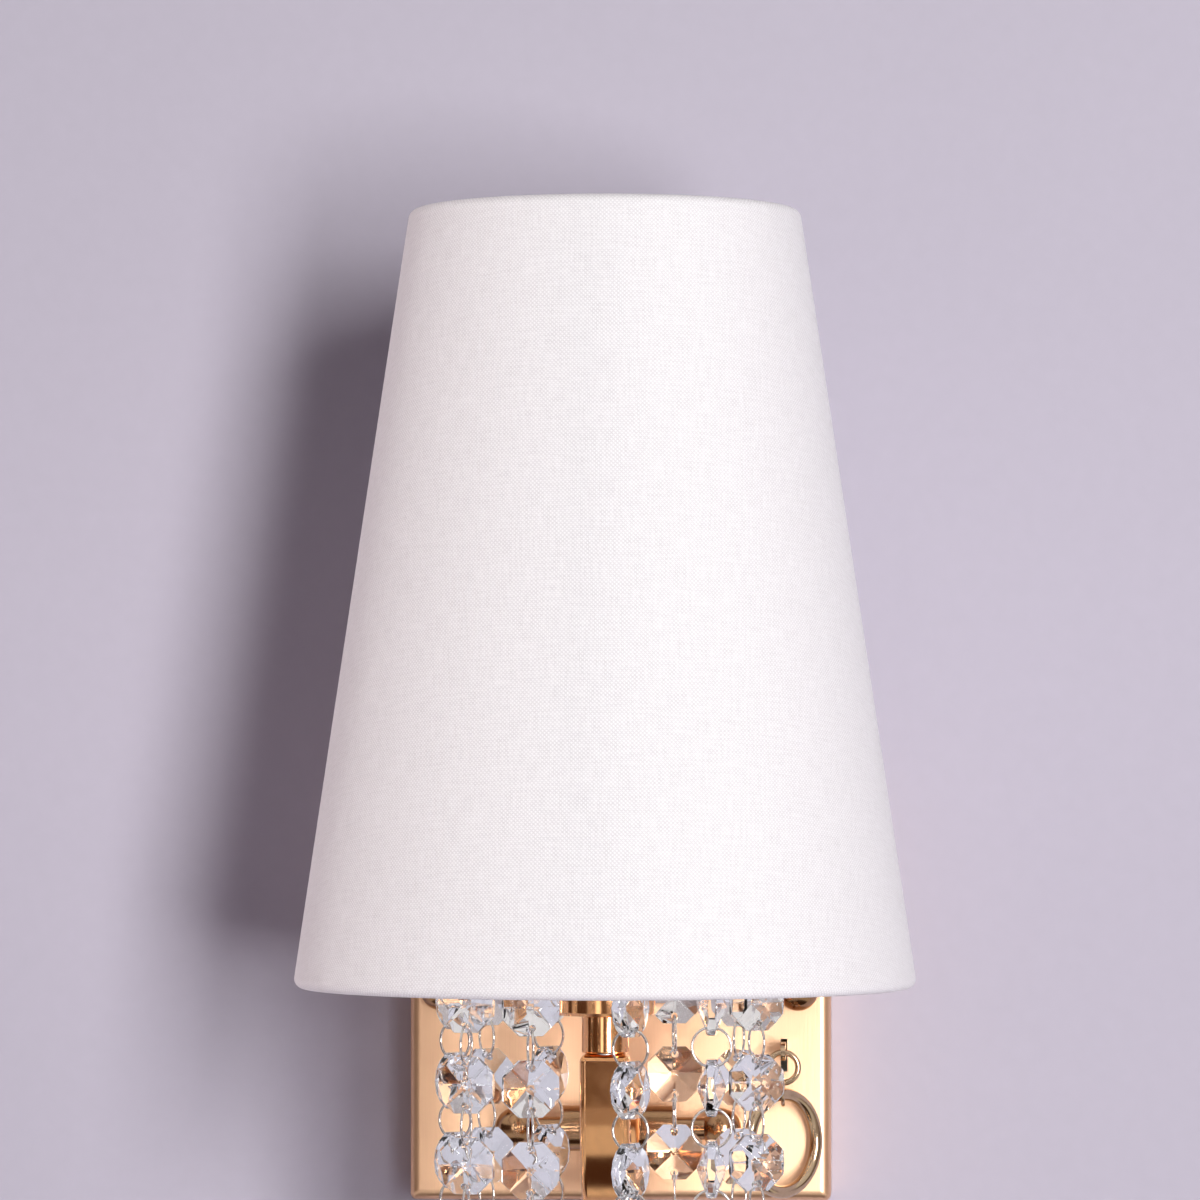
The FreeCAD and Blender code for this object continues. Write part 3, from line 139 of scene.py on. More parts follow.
def upright_wall(radius, low, high, steps):
    """Points of a profile on a straight wall, from its foot to its top."""
    return np.stack([np.full(steps, radius), np.linspace(low, high, steps)], axis=-1)


def thickened(line, thickness):
    """Closed outline at half a thickness on each side of an open line."""
    step = np.gradient(line, axis=0)
    step /= np.hypot(*step.T)[:, None]
    side = np.stack([step[:, 1], -step[:, 0]], axis=-1) * thickness / 2
    return np.concatenate([line + side, (line - side)[::-1]])


def grid_quads(rows, cols, closed=True):
    """Quads of a rows by cols grid of points; a closed one joins its last lines to its first."""
    left_out = 0 if closed else 1
    row, col = np.meshgrid(np.arange(rows - left_out), np.arange(cols - left_out), indexing="ij")
    next_row, next_col = (row + 1) % rows, (col + 1) % cols
    corners = (row * cols + col, row * cols + next_col, next_row * cols + next_col, next_row * cols + col)
    return np.stack(corners, axis=-1).reshape(-1, 4)


def joined(parts):
    """Puts several (points, quads) surfaces into one pair of arrays."""
    offsets = np.cumsum([0] + [len(points) for points, _ in parts[:-1]])
    points = np.concatenate([points for points, _ in parts])
    quads = np.concatenate([quads + offset for (_, quads), offset in zip(parts, offsets)])
    return points, quads


def turned(profile, sides, bulge=None):
    """A closed profile of radius and height carried once round the lamp's axis.

    point(i, t) = axis + (radius_i + bulge(t, i)) (sin t, -cos t), height_i, with t from 0 to a full
    turn and t = 0 at the front."""
    radius, height = profile.T
    turn = np.linspace(0, TURN, sides, endpoint=False)
    reach = np.repeat(radius[:, None], sides, axis=1)
    if bulge is not None:
        reach = reach + bulge(turn[None, :], profile)
    axis = middle_of("neck")
    points = np.stack([axis[0] + reach * np.sin(turn), axis[1] - reach * np.cos(turn),
                       np.repeat(height[:, None], sides, axis=1)], axis=-1)
    return points.reshape(-1, 3), grid_quads(len(radius), sides)


def wire_ring(centre, along, radius, wire, steps, sides):
    """An upright ring of round wire.

    point(u, v) = centre + (radius + wire cos v)(along cos u + up sin u) + wire sin v across, where
    across is the axis of the ring."""
    sweep = np.linspace(-math.pi / 2, 1.5 * math.pi, steps, endpoint=False)
    round_wire = np.linspace(0, TURN, sides, endpoint=False)
    out = along * np.cos(sweep)[:, None, None] + UP * np.sin(sweep)[:, None, None]
    reach = (radius + wire * np.cos(round_wire))[None, :, None]
    across = np.cross(along, UP)
    points = centre + out * reach + across * (wire * np.sin(round_wire))[None, :, None]
    return points.reshape(-1, 3), grid_quads(steps, sides)


def screw_thread(radius, low, high, pitch, depth):
    """Bulge of a round thread on the wall of a radius.

    It is depth times a sine that climbs one pitch per turn, eased in at both ends, and points inwards
    from the wall."""
    ease = 1.5 * MM

    def bulge(turn, profile):
        """The thread at each turn and point of a profile; zero off the wall."""
        height = profile[:, 1:]
        wave = 0.5 + 0.5 * np.sin(TURN * height / pitch - turn)
        window = np.clip((height - low) / ease, 0, 1) * np.clip((high - height) / ease, 0, 1)
        on_wall = profile[:, :1] > radius - 0.01 * MM
        return on_wall * (depth * (wave - 1) * window)

    return bulge


def linked(name, data):
    """A new object in the scene."""
    item = bpy.data.objects.new(name, data)
    bpy.context.scene.collection.objects.link(item)
    return item


def stand_in(item, body, node_name):
    """Rides a piece on its body, in place of a CAD node, which it hides."""
    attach(item, body)
    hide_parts(node_name)
    return item


def piece(name, surface, material, body, node_name, uv=None, smooth=True):
    """Makes a mesh object from points and quads, dresses it and puts it in place of a CAD node."""
    points, quads = surface
    mesh = bpy.data.meshes.new(name)
    mesh.from_pydata(points.tolist(), [], quads.tolist())
    mesh.update()
    shape = bmesh.new()
    shape.from_mesh(mesh)
    bmesh.ops.recalc_face_normals(shape, faces=shape.faces)
    shape.to_mesh(mesh)
    shape.free()
    if uv is not None:
        corner = np.empty(len(mesh.loops), np.int32)
        mesh.loops.foreach_get("vertex_index", corner)
        mesh.uv_layers.new(name="cloth").data.foreach_set("uv", uv[corner].astype(np.float32).ravel())
    mesh.polygons.foreach_set("use_smooth", np.full(len(mesh.polygons), smooth))
    mesh.materials.append(material)
    return stand_in(linked(name, mesh), body, node_name)


# ---- Shader node groups and materials


def node(tree, kind, inputs=(), **settings):
    """Adds a shader node with its settings; each input, by name or number, is a socket or a value."""
    made = tree.nodes.new(kind)
    for name, value in settings.items():
        setattr(made, name, value)
    for name, given in dict(inputs).items():
        if isinstance(given, bpy.types.NodeSocket):
            tree.links.new(given, made.inputs[name])
        else:
            made.inputs[name].default_value = given
    return made


def calc(tree, operation, *given, clamp=False):
    """Adds a Math node and gives its result; its inputs are sockets or numbers."""
    made = node(tree, "ShaderNodeMath", enumerate(given), operation=operation, use_clamp=clamp)
    return made.outputs[0]


def noise(tree, place, scale, detail, roughness=0.5):
    """Adds a Noise Texture, read at a place."""
    return node(tree, "ShaderNodeTexNoise",
                {"Vector": place, "Scale": scale, "Detail": detail, "Roughness": roughness})


def bump(tree, height, strength, distance):
    """Adds a Bump node and gives its normal."""
    given = {"Height": height, "Strength": strength, "Distance": distance}
    return node(tree, "ShaderNodeBump", given).outputs["Normal"]


def mixed_colour(tree, share, first, second):
    """Adds a Mix node for two colours and gives the mixed one."""
    return node(tree, "ShaderNodeMix", {0: share, 6: first, 7: second}, data_type="RGBA").outputs[2]


def mixed_shader(tree, share, first, second):
    """Adds a Mix Shader node and gives the mixed shader."""
    return node(tree, "ShaderNodeMixShader", {0: share, 1: first, 2: second}).outputs[0]


def only(tree, kind):
    """The one node of its kind in a tree."""
    return next(item for item in tree.nodes if item.type == kind)


def lay_out(tree):
    """Stands a tree's nodes in columns, by the most links that lie between a node and the end."""
    column_width, row_height = 220, 260
    columns = {item.name: 0 for item in tree.nodes}
    for _ in tree.nodes:
        for link in tree.links:
            start, end = link.from_node.name, link.to_node.name
            columns[start] = max(columns[start], columns[end] + 1)
    rows = dict.fromkeys(columns.values(), 0)
    for name, column in columns.items():
        tree.nodes[name].location = (-column * column_width, -rows[column] * row_height)
        rows[column] += 1


def new_group(name, inputs):
    """A node group that gives Colour, Roughness and Normal, and the sockets of its named inputs."""
    group = bpy.data.node_groups.new(name, "ShaderNodeTree")
    results = {"Colour": "Color", "Roughness": "Float", "Normal": "Vector"}
    for way, sockets in (("INPUT", inputs), ("OUTPUT", results)):
        for label, kind in sockets.items():
            group.interface.new_socket(label, in_out=way, socket_type="NodeSocket" + kind)
    return group, node(group, "NodeGroupInput").outputs


def surface_group():
    """Node group that all hard finishes share: fine grain, cloudy marks and their bump.

    Grain is a noise on Object coordinates stretched by Grain Scale; marks are a broad noise. Colour
    is darkened and roughness raised by them, and the grain is the bump's height."""
    name = "sconce_surface"
    if name in bpy.data.node_groups:
        return bpy.data.node_groups[name]
    group, given = new_group(name, {
        "Colour": "Color", "Grain Scale": "Vector", "Mark Scale": "Float", "Mark Depth": "Float",
        "Roughness": "Float", "Roughness Spread": "Float", "Grain Depth": "Float"})
    place = node(group, "ShaderNodeTexCoord").outputs["Object"]
    stretch = node(group, "ShaderNodeVectorMath", {0: place, 1: given["Grain Scale"]}, operation="MULTIPLY")
    grain = noise(group, stretch.outputs[0], 1.0, 4.0).outputs["Fac"]
    marks = noise(group, place, given["Mark Scale"], 6.0, 0.6).outputs["Fac"]
    both = calc(group, "ADD", calc(group, "SUBTRACT", grain, 0.5), calc(group, "SUBTRACT", marks, 0.5))
    light = calc(group, "SUBTRACT", 1.0, calc(group, "MULTIPLY", both, given["Mark Depth"]))
    spread = calc(group, "MULTIPLY", both, given["Roughness Spread"])
    node(group, "NodeGroupOutput", {
        "Colour": node(group, "ShaderNodeVectorMath", {0: given["Colour"], "Scale": light},
                       operation="SCALE").outputs[0],
        "Roughness": calc(group, "ADD", given["Roughness"], spread, clamp=True),
        "Normal": bump(group, grain, given["Grain Depth"], 0.05 * MM)})
    lay_out(group)
    return group


def weave_group():
    """Node group for plain-woven cloth, read from the cloth's own flat pattern.

    Warp and weft are rounded threads, |sin| across each thread, and each goes over the other in turn
    by the sign of sin(along) sin(across), the turns. The height is 0.50 (warp or weft, whichever is
    over) + 0.34 turns + 0.46 + slubs, which are noise drawn out along the threads. A low place has the
    shadow's colour and is rougher. A finer noise lets the threads wander."""
    name = "sconce_weave"
    if name in bpy.data.node_groups:
        return bpy.data.node_groups[name]
    group, given = new_group(name, {"Colour": "Color", "Shadow Colour": "Color", "Thread Pitch": "Float",
                                    "Depth": "Float"})
    cloth = node(group, "ShaderNodeUVMap", uv_map="cloth").outputs["UV"]
    wander = (0.22 * MM, 0.22 * MM, 0)
    wobble = node(group, "ShaderNodeVectorMath", {0: noise(group, cloth, 900.0, 2.0).outputs["Color"],
                                                  1: wander, 2: cloth}, operation="MULTIPLY_ADD")
    split = node(group, "ShaderNodeSeparateXYZ", {0: wobble.outputs[0]})
    rate = calc(group, "DIVIDE", math.pi, given["Thread Pitch"])
    across, along = (calc(group, "SINE", calc(group, "MULTIPLY", split.outputs[axis], rate)) for axis in "XY")
    turns = calc(group, "MULTIPLY", across, along)
    over = calc(group, "MULTIPLY_ADD", turns, 2.5, 0.5, clamp=True)
    warp = calc(group, "MULTIPLY", calc(group, "ABSOLUTE", across), over)
    weft = calc(group, "MULTIPLY", calc(group, "ABSOLUTE", along), calc(group, "SUBTRACT", 1.0, over))
    crossings = calc(group, "MULTIPLY_ADD", turns, 0.34, 0.46)
    height = calc(group, "MULTIPLY_ADD", calc(group, "ADD", warp, weft), 0.50, crossings)
    along_slub, across_slub, slub_size = 160.0, 1500.0, 0.38
    slubs = []
    for stretch in ((along_slub, across_slub, 1.0), (across_slub, along_slub, 1.0)):
        drawn = node(group, "ShaderNodeVectorMath", {0: cloth, 1: stretch}, operation="MULTIPLY")
        slubs.append(noise(group, drawn.outputs[0], 1.0, 3.0).outputs["Fac"])
    slub = calc(group, "MULTIPLY_ADD", calc(group, "ADD", *slubs), slub_size, -slub_size)
    lifted = calc(group, "ADD", height, slub, clamp=True)
    node(group, "NodeGroupOutput", {
        "Colour": mixed_colour(group, lifted, given["Shadow Colour"], given["Colour"]),
        "Roughness": calc(group, "MULTIPLY_ADD", lifted, -0.15, 0.95, clamp=True),
        "Normal": bump(group, lifted, given["Depth"], 0.12 * MM)})
    lay_out(group)
    return group


def fresh_material(name, **sockets):
    """A new material, its tree and its Principled shader with values for the shader's own sockets."""
    material = bpy.data.materials.new(name)
    material.use_nodes = True
    tree = material.node_tree
    shader = only(tree, "BSDF_PRINCIPLED")
    for label, value in sockets.items():
        shader.inputs[label.replace("_", " ")].default_value = value
    return material, tree, shader


def cover(tree, shader, group, inputs):
    """Feeds a shader's colour, roughness and normal from a node group with its inputs."""
    made = node(tree, "ShaderNodeGroup", node_tree=group)
    for label, value in inputs.items():
        made.inputs[label].default_value = value
    for label, target in (("Colour", "Base Color"), ("Roughness", "Roughness"), ("Normal", "Normal")):
        tree.links.new(made.outputs[label], shader.inputs[target])
    lay_out(tree)


def finish(name, colour, roughness, metallic=0.0, grain=900, grain_depth=0.1, spread=0.1, marks=60.0,
           mark_depth=0.1, **sockets):
    """A hard finish: the shared surface group feeding one Principled shader.

    Grain and marks are in waves to the metre; grain is one number, or one for each direction."""
    material, tree, shader = fresh_material(name, Metallic=metallic, **sockets)
    cover(tree, shader, surface_group(), {
        "Colour": (*colour, 1), "Grain Scale": grain if isinstance(grain, tuple) else (grain,) * 3,
        "Mark Scale": marks, "Mark Depth": mark_depth, "Roughness": roughness, "Roughness Spread": spread,
        "Grain Depth": grain_depth})
    return material


def dress(material, *names):
    """Gives CAD nodes a material in their own slots."""
    for name in names:
        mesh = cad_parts[name].data
        mesh.materials.clear()
        mesh.materials.append(material)


# ---- Linen shade


class ShadeSettings(bpy.types.PropertyGroup):
    """Sizes and colours of the linen shade."""

    cloth_thickness: length("Cloth", "Thickness of the linen", 0.5 * MM)
    hem_turn: length("Hem turn", "Linen turned in over each wire ring", 9 * MM)
    ring_clearance: length("Fold radius", "Linen's outside from the middle of the wire ring", 2.4 * MM)
    film_thickness: length("Film", "Thickness of the stiff film", 0.4 * MM)
    film_margin: length("Film margin", "Film's edge from the middle of a wire ring", 2.2 * MM)
    thread_pitch: length("Thread pitch", "Distance between threads of the weave", 0.5 * MM)
    seam_width: length("Seam", "Overlap of the glued seam at the back", 10 * MM)
    linen: tint("Linen", "Colour of the linen's threads", (0.97, 0.94, 0.95))
    linen_shadow: tint("Linen gaps", "Colour between the threads", (0.58, 0.53, 0.55))
    film: tint("Film", "Colour of the stiff film behind the linen", (0.86, 0.85, 0.83))
    # Painted light: the film glows by itself, in place of light that passes the linen
    painted_glow: number("Daylight", "Glow of the film, for light that passes the linen", 0.28)


def shade_profile(settings):
    """Centre line of the cloth in section: turned in, round the low wire, up the cone and over the top.

    The outside is the straight line between the two rims; each fold is an arc about the wire ring's
    middle that meets this line without a kink; inside, the cloth lies on the film. Gives the line, and
    the cone: the two rings' middles, the direction up it and the direction out of it."""
    low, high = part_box("shade_cover")
    ring_low, ring_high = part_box("shade_top_ring")
    wire = (ring_high.z - ring_low.z) / 2
    top_ring = np.array([half_width("shade_top_ring") - wire, (ring_low.z + ring_high.z) / 2])
    inset = high.z - top_ring[1]
    rise = high.z - low.z
    slope = np.array([reach_at("shade_cover", high.z) - half_width("shade_cover"), rise])
    along = slope / np.hypot(*slope)
    outward = np.array([along[1], -along[0]])
    low_ring = np.array([top_ring[0] - slope[0] * (1 - 2 * inset / rise), low.z + inset])
    fold = settings.ring_clearance - settings.cloth_thickness / 2
    lean = math.atan2(outward[1], outward[0])
    low_fold = arc(low_ring, fold, -math.pi, lean)
    top_fold = arc(top_ring, fold, lean, math.pi)
    film_room = 0.9 * MM
    inside = outward * (fold - film_room - settings.cloth_thickness)
    low_edge = low_ring + along * settings.hem_turn + inside
    top_edge = top_ring - along * settings.hem_turn + inside
    line = np.concatenate([
        straight(low_edge, low_fold[0], 7)[:-1], low_fold, straight(low_fold[-1], top_fold[0], 61)[1:-1],
        top_fold, straight(top_edge, top_fold[-1], 7)[:-1][::-1]])
    return line, (low_ring, top_ring, along, outward)


def flat_pattern(line, sides, narrowing):
    """The cloth's flat pattern: a sector whose radius is the slant distance from the cone's tip.

    u, v = s sin(a t), s cos(a t), where s is the distance along the cloth from the tip, a is the
    sine of the cone's half angle (narrowing) and t the turn round the axis, measured from the front."""
    run = np.concatenate([[0], np.cumsum(np.hypot(*np.diff(line, axis=0).T))])
    middle = len(line) // 2
    slant = line[middle, 0] / narrowing - (run - run[middle])
    both = np.concatenate([slant, slant[::-1]])
    turn = np.roll(np.linspace(-math.pi, math.pi, sides, endpoint=False), sides // 2)
    fan = narrowing * turn
    return np.stack([both[:, None] * np.sin(fan), both[:, None] * np.cos(fan)], axis=-1).reshape(-1, 2)


class SCONCE_OT_linen_shade(bpy.types.Operator):
    """Makes the linen cover with its folded hems, and dresses the film and wires behind it"""

    bl_idname = "sconce.linen_shade"
    bl_label = "Linen shade"

    def execute(self, context):
        settings = context.scene.sconce_shade
        line, cone = shade_profile(settings)
        low_ring, top_ring, along, _ = cone
        narrowing = -along[0]
        seam = settings.seam_width / 2
        seam_rise = 0.35 * MM

        def bulge(turn, profile):
            """Slight hand-made waves, and the glued overlap at the back, on the outside only.

            In millimetres, the waves are 0.09 sin(3 t + 0.7) + 0.06 sin(5 t + 2 + 9 height)."""
            from_seam = np.abs(turn - math.pi) * profile[:, :1] - seam
            overlap = 1 / (1 + np.exp(from_seam / seam_rise))
            waves = 0.09 * np.sin(3 * turn + 0.7) + 0.06 * np.sin(5 * turn + 2.0 + 9 * profile[:, 1:])
            outside = np.arange(len(profile)) < len(line)
            return waves * MM + overlap * outside[:, None] * seam_rise

        surface = turned(thickened(line, settings.cloth_thickness), CLOTH_SIDES, bulge)
        material, tree, shader = fresh_material("linen", Sheen_Weight=0.25, Sheen_Roughness=0.5,
                                                Specular_IOR_Level=0.2)
        cover(tree, shader, weave_group(), {
            "Colour": (*settings.linen, 1), "Shadow Colour": (*settings.linen_shadow, 1),
            "Thread Pitch": settings.thread_pitch, "Depth": 1.0})
        linen = piece("shade_linen", surface, material, "shade", "shade_cover",
                      flat_pattern(line, CLOTH_SIDES, narrowing))
        self.film(settings, cone)
        coated = finish("coated_wire", (0.84, 0.83, 0.80), 0.35, grain=1600, grain_depth=0.3, marks=120.0,
                        mark_depth=0.12, Coat_Weight=0.3)
        dress(coated, "shade_top_ring", "shade_frame")
        return {"FINISHED"}

    def film(self, settings, cone):
        """Stiff film that fills the cone between the two wire rings, just inside the linen."""
        low_ring, top_ring, along, outward = cone
        gap = 0.02 * MM
        behind = settings.ring_clearance - settings.cloth_thickness - settings.film_thickness / 2 - gap
        line = straight(low_ring + along * settings.film_margin + outward * behind,
                        top_ring - along * settings.film_margin + outward * behind, 24)
        # The film's emission is painted light, in place of light that passes the linen
        material = finish("shade_film", settings.film, 0.38, grain=(500, 500, 90), grain_depth=0.25,
                          spread=0.12, marks=25.0, mark_depth=0.05, Emission_Strength=settings.painted_glow)
        piece("shade_film", turned(thickened(line, settings.film_thickness), FILM_SIDES), material, "shade",
              "shade_liner")


# ---- Crystal strings

BEADS = 5
BEAD_HEIGHT = 14 * MM
# Start of the draw of idle turns, taken so that hardly a facet throws the tall softbox at the camera
HANGING = 2445
# Steps round the wire of the chrome rings, and round the pull's rings and their wire
CHROME_SIDES = 8
PULL_STEPS, PULL_SIDES = 96, 24


class CrystalSettings(bpy.types.PropertyGroup):
    """Sizes and colours of the crystals and their rings."""

    edge_width: length("Facet edge", "Ground edge between two facets", 0.09 * MM)
    idle_turn: angle("Idle turn", "How far single crystals and rings hang turned", 5)
    ring_steps: IntProperty(name="Ring steps", description="Steps round a chrome ring", default=56, min=16)
    glass_index: number("Glass index", "Refraction of the lead crystal", 1.56)
    crystal: tint("Crystal", "Colour of the cut crystal", (0.985, 0.99, 1.0))
    ring_wire: length("Ring wire", "Radius of a chrome ring's wire", 0.34 * MM)
    chrome: tint("Chrome", "Colour of the rings' plating", (0.74, 0.69, 0.65))


def string_line(letter):
    """Where a string hangs, and the heights of its rings and crystals, their pitch and a ring's height."""
    ring_low, ring_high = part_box(f"rings_{letter}")
    bead_low, bead_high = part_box(f"crystals_{letter}")
    pitch = (bead_high.z - bead_low.z - BEAD_HEIGHT) / (BEADS - 1)
    ring_height = ring_high.z - ring_low.z - pitch * (BEADS - 1)
    drop = -pitch * np.arange(BEADS)
    place = np.array([(ring_low.x + ring_high.x) / 2, (ring_low.y + ring_high.y) / 2])
    return {"place": place, "rings": ring_high.z - ring_height / 2 + drop,
            "beads": bead_high.z - BEAD_HEIGHT / 2 + drop, "ring_height": ring_height, "pitch": pitch}


class SCONCE_OT_crystal_strings(bpy.types.Operator):
    """Makes ten strings of cut crystals with ground facet edges, joined by chrome rings"""

    bl_idname = "sconce.crystal_strings"
    bl_label = "Crystal strings"

    def glass(self, settings):
        """Clear lead crystal; a slight ripple, of 240 waves to the metre, bends its facets."""
        material, tree, shader = fresh_material(
            "cut_crystal", Base_Color=(*settings.crystal, 1), Roughness=0.0, IOR=settings.glass_index,
            Transmission_Weight=1.0)
        place = node(tree, "ShaderNodeTexCoord").outputs["Object"]
        ripple = noise(tree, place, 240.0, 1.0).outputs["Fac"]
        tree.links.new(bump(tree, ripple, 0.5, 0.1 * MM), shader.inputs["Normal"])
        lay_out(tree)
        return material

    def crystals(self, letter, line, turns, settings, material):
        """A merged copy of the frame's crystals with whole facets, each turned a little about the string.

        Each corner turns about the upright line through its own crystal by that crystal's angle."""
        same_place, same_facet, sharp = 0.004 * MM, math.radians(1), math.radians(12)
        shape = bmesh.new()
        shape.from_mesh(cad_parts[f"crystals_{letter}"].data)
        bmesh.ops.remove_doubles(shape, verts=shape.verts, dist=same_place)
        bmesh.ops.dissolve_limit(shape, angle_limit=same_facet, verts=shape.verts, edges=shape.edges)
        name = f"string_{letter}_crystals"
        mesh = bpy.data.meshes.new(name)
        shape.to_mesh(mesh)
        shape.free()
        flat = np.empty(len(mesh.vertices) * 3)
        mesh.vertices.foreach_get("co", flat)
        points = flat.reshape(-1, 3)
        number = np.clip(np.round((line["beads"][0] - points[:, 2]) / line["pitch"]), 0, BEADS - 1)
        turn = turns[number.astype(int)]
        x, y = (points[:, :2] - line["place"]).T
        points[:, 0] = line["place"][0] + x * np.cos(turn) - y * np.sin(turn)
        points[:, 1] = line["place"][1] + x * np.sin(turn) + y * np.cos(turn)
        mesh.vertices.foreach_set("co", points.ravel())
        mesh.materials.clear()
        mesh.materials.append(material)
        item = linked(name, mesh)
        ground = item.modifiers.new("ground_edges", "BEVEL")
        ground.width = settings.edge_width
        ground.segments = 1
        ground.limit_method = "ANGLE"
        ground.angle_limit = sharp
        stand_in(item, f"string_{letter}", f"crystals_{letter}")

    def execute(self, context):
        settings = context.scene.sconce_crystals
        glass = self.glass(settings)
        chrome = finish("ring_plating", settings.chrome, 0.12, 1.0, grain=2500, grain_depth=0.15,
                        spread=0.15, marks=400.0, mark_depth=0.25)
        wire = settings.ring_wire
        chance = np.random.default_rng(HANGING)
        for letter in STRINGS:
            line = string_line(letter)
            bead_turns = chance.uniform(-1, 1, BEADS) * settings.idle_turn
            ring_turns = chance.uniform(-1, 1, BEADS) * settings.idle_turn
            ring_turns[0] = 0.0  # the top ring stays square to the hoop it hangs on
            self.crystals(letter, line, bead_turns, settings, glass)
            rings = []
            radius = line["ring_height"] / 2 - wire
            facing = flat_way(f"rings_{letter}")
            heading = math.atan2(facing[1], facing[0])
            for height, turn in zip(line["rings"], ring_turns):
                along = np.array([math.cos(heading + turn), math.sin(heading + turn), 0])
                rings.append(wire_ring(np.array([*line["place"], height]), along, radius, wire,
                                       settings.ring_steps, CHROME_SIDES))
            piece(f"string_{letter}_rings", joined(rings), chrome, f"string_{letter}", f"rings_{letter}")
        return {"FINISHED"}


# ---- Gold metalwork


class MetalSettings(bpy.types.PropertyGroup):
    """Colours of the lamp's metals."""

    satin_gold: tint("Satin gold", "Brushed plate", (0.91, 0.57, 0.355))
    polished_gold: tint("Polished gold", "Arm, neck and cup", (0.92, 0.47, 0.21))
    # Painted shade: the crossbar and cap nuts get the gold darkened, in place of the shade and dark
    # reflections they lie in
    shade_darkened_gold: tint("Shade-darkened gold", "Crossbar and cap nuts", (0.44, 0.25, 0.13))
    pull_brass: tint("Pull brass", "Pull ring and its links", (0.62, 0.45, 0.29))
    zinc: tint("Zinc", "Plated steel inside the plate", (0.60, 0.61, 0.62))


class SCONCE_OT_metalwork(bpy.types.Operator):
    """Dresses the plate, crossbar, cap nuts, arm, neck, cup and hoop in their finishes"""

    bl_idname = "sconce.metalwork"
    bl_label = "Gold metalwork"

    def execute(self, context):
        settings = context.scene.sconce_metals
        dress(finish("satin_gold", settings.satin_gold, 0.39, 1.0, grain=(2600, 2600, 60), grain_depth=0.3,
                     spread=0.08, marks=35.0), "backplate")
        dress(finish("polished_gold", settings.polished_gold, 0.14, 1.0, grain=500, grain_depth=0.12,
                     marks=90.0, mark_depth=0.14), "arm", "neck", "cup")
        # Crossbar and cap nuts: the same gold darkened as painted shade
        dress(finish("shade_darkened_gold", settings.shade_darkened_gold, 0.18, 1.0, grain=500, grain_depth=0.15, spread=0.12,
                     marks=120.0, mark_depth=0.25), "crossbar", "ball_cap_nuts")
        dress(finish("hoop_plating", (0.72, 0.70, 0.68), 0.2, 1.0, grain_depth=0.15, spread=0.12,
                     marks=120.0, mark_depth=0.2), "crystal_hoop")
        return {"FINISHED"}


class SCONCE_OT_pull(bpy.types.Operator):
    """Makes the pull ring and its two links as smooth brass rings, and dresses the tongue"""

    bl_idname = "sconce.pull"
    bl_label = "Pull ring"

    def execute(self, context):
        brass = finish("pull_brass", context.scene.sconce_metals.pull_brass, 0.15, 1.0, grain=700,
                       grain_depth=0.15, spread=0.14, marks=150.0, mark_depth=0.3)
        for name, body, wire in (("upper_link", "links", 0.8 * MM), ("lower_link", "links", 0.5 * MM),
                                 ("ring_pull", "pull_ring", 1.65 * MM)):
            low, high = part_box(name)
            surface = wire_ring(middle_of(name), flat_way(name), (high.z - low.z) / 2 - wire, wire,
                                PULL_STEPS, PULL_SIDES)
            piece(f"{name}_brass", surface, brass, body, name)
        dress(brass, "pull_tongue")
        return {"FINISHED"}


# ---- Lampholder and bulb


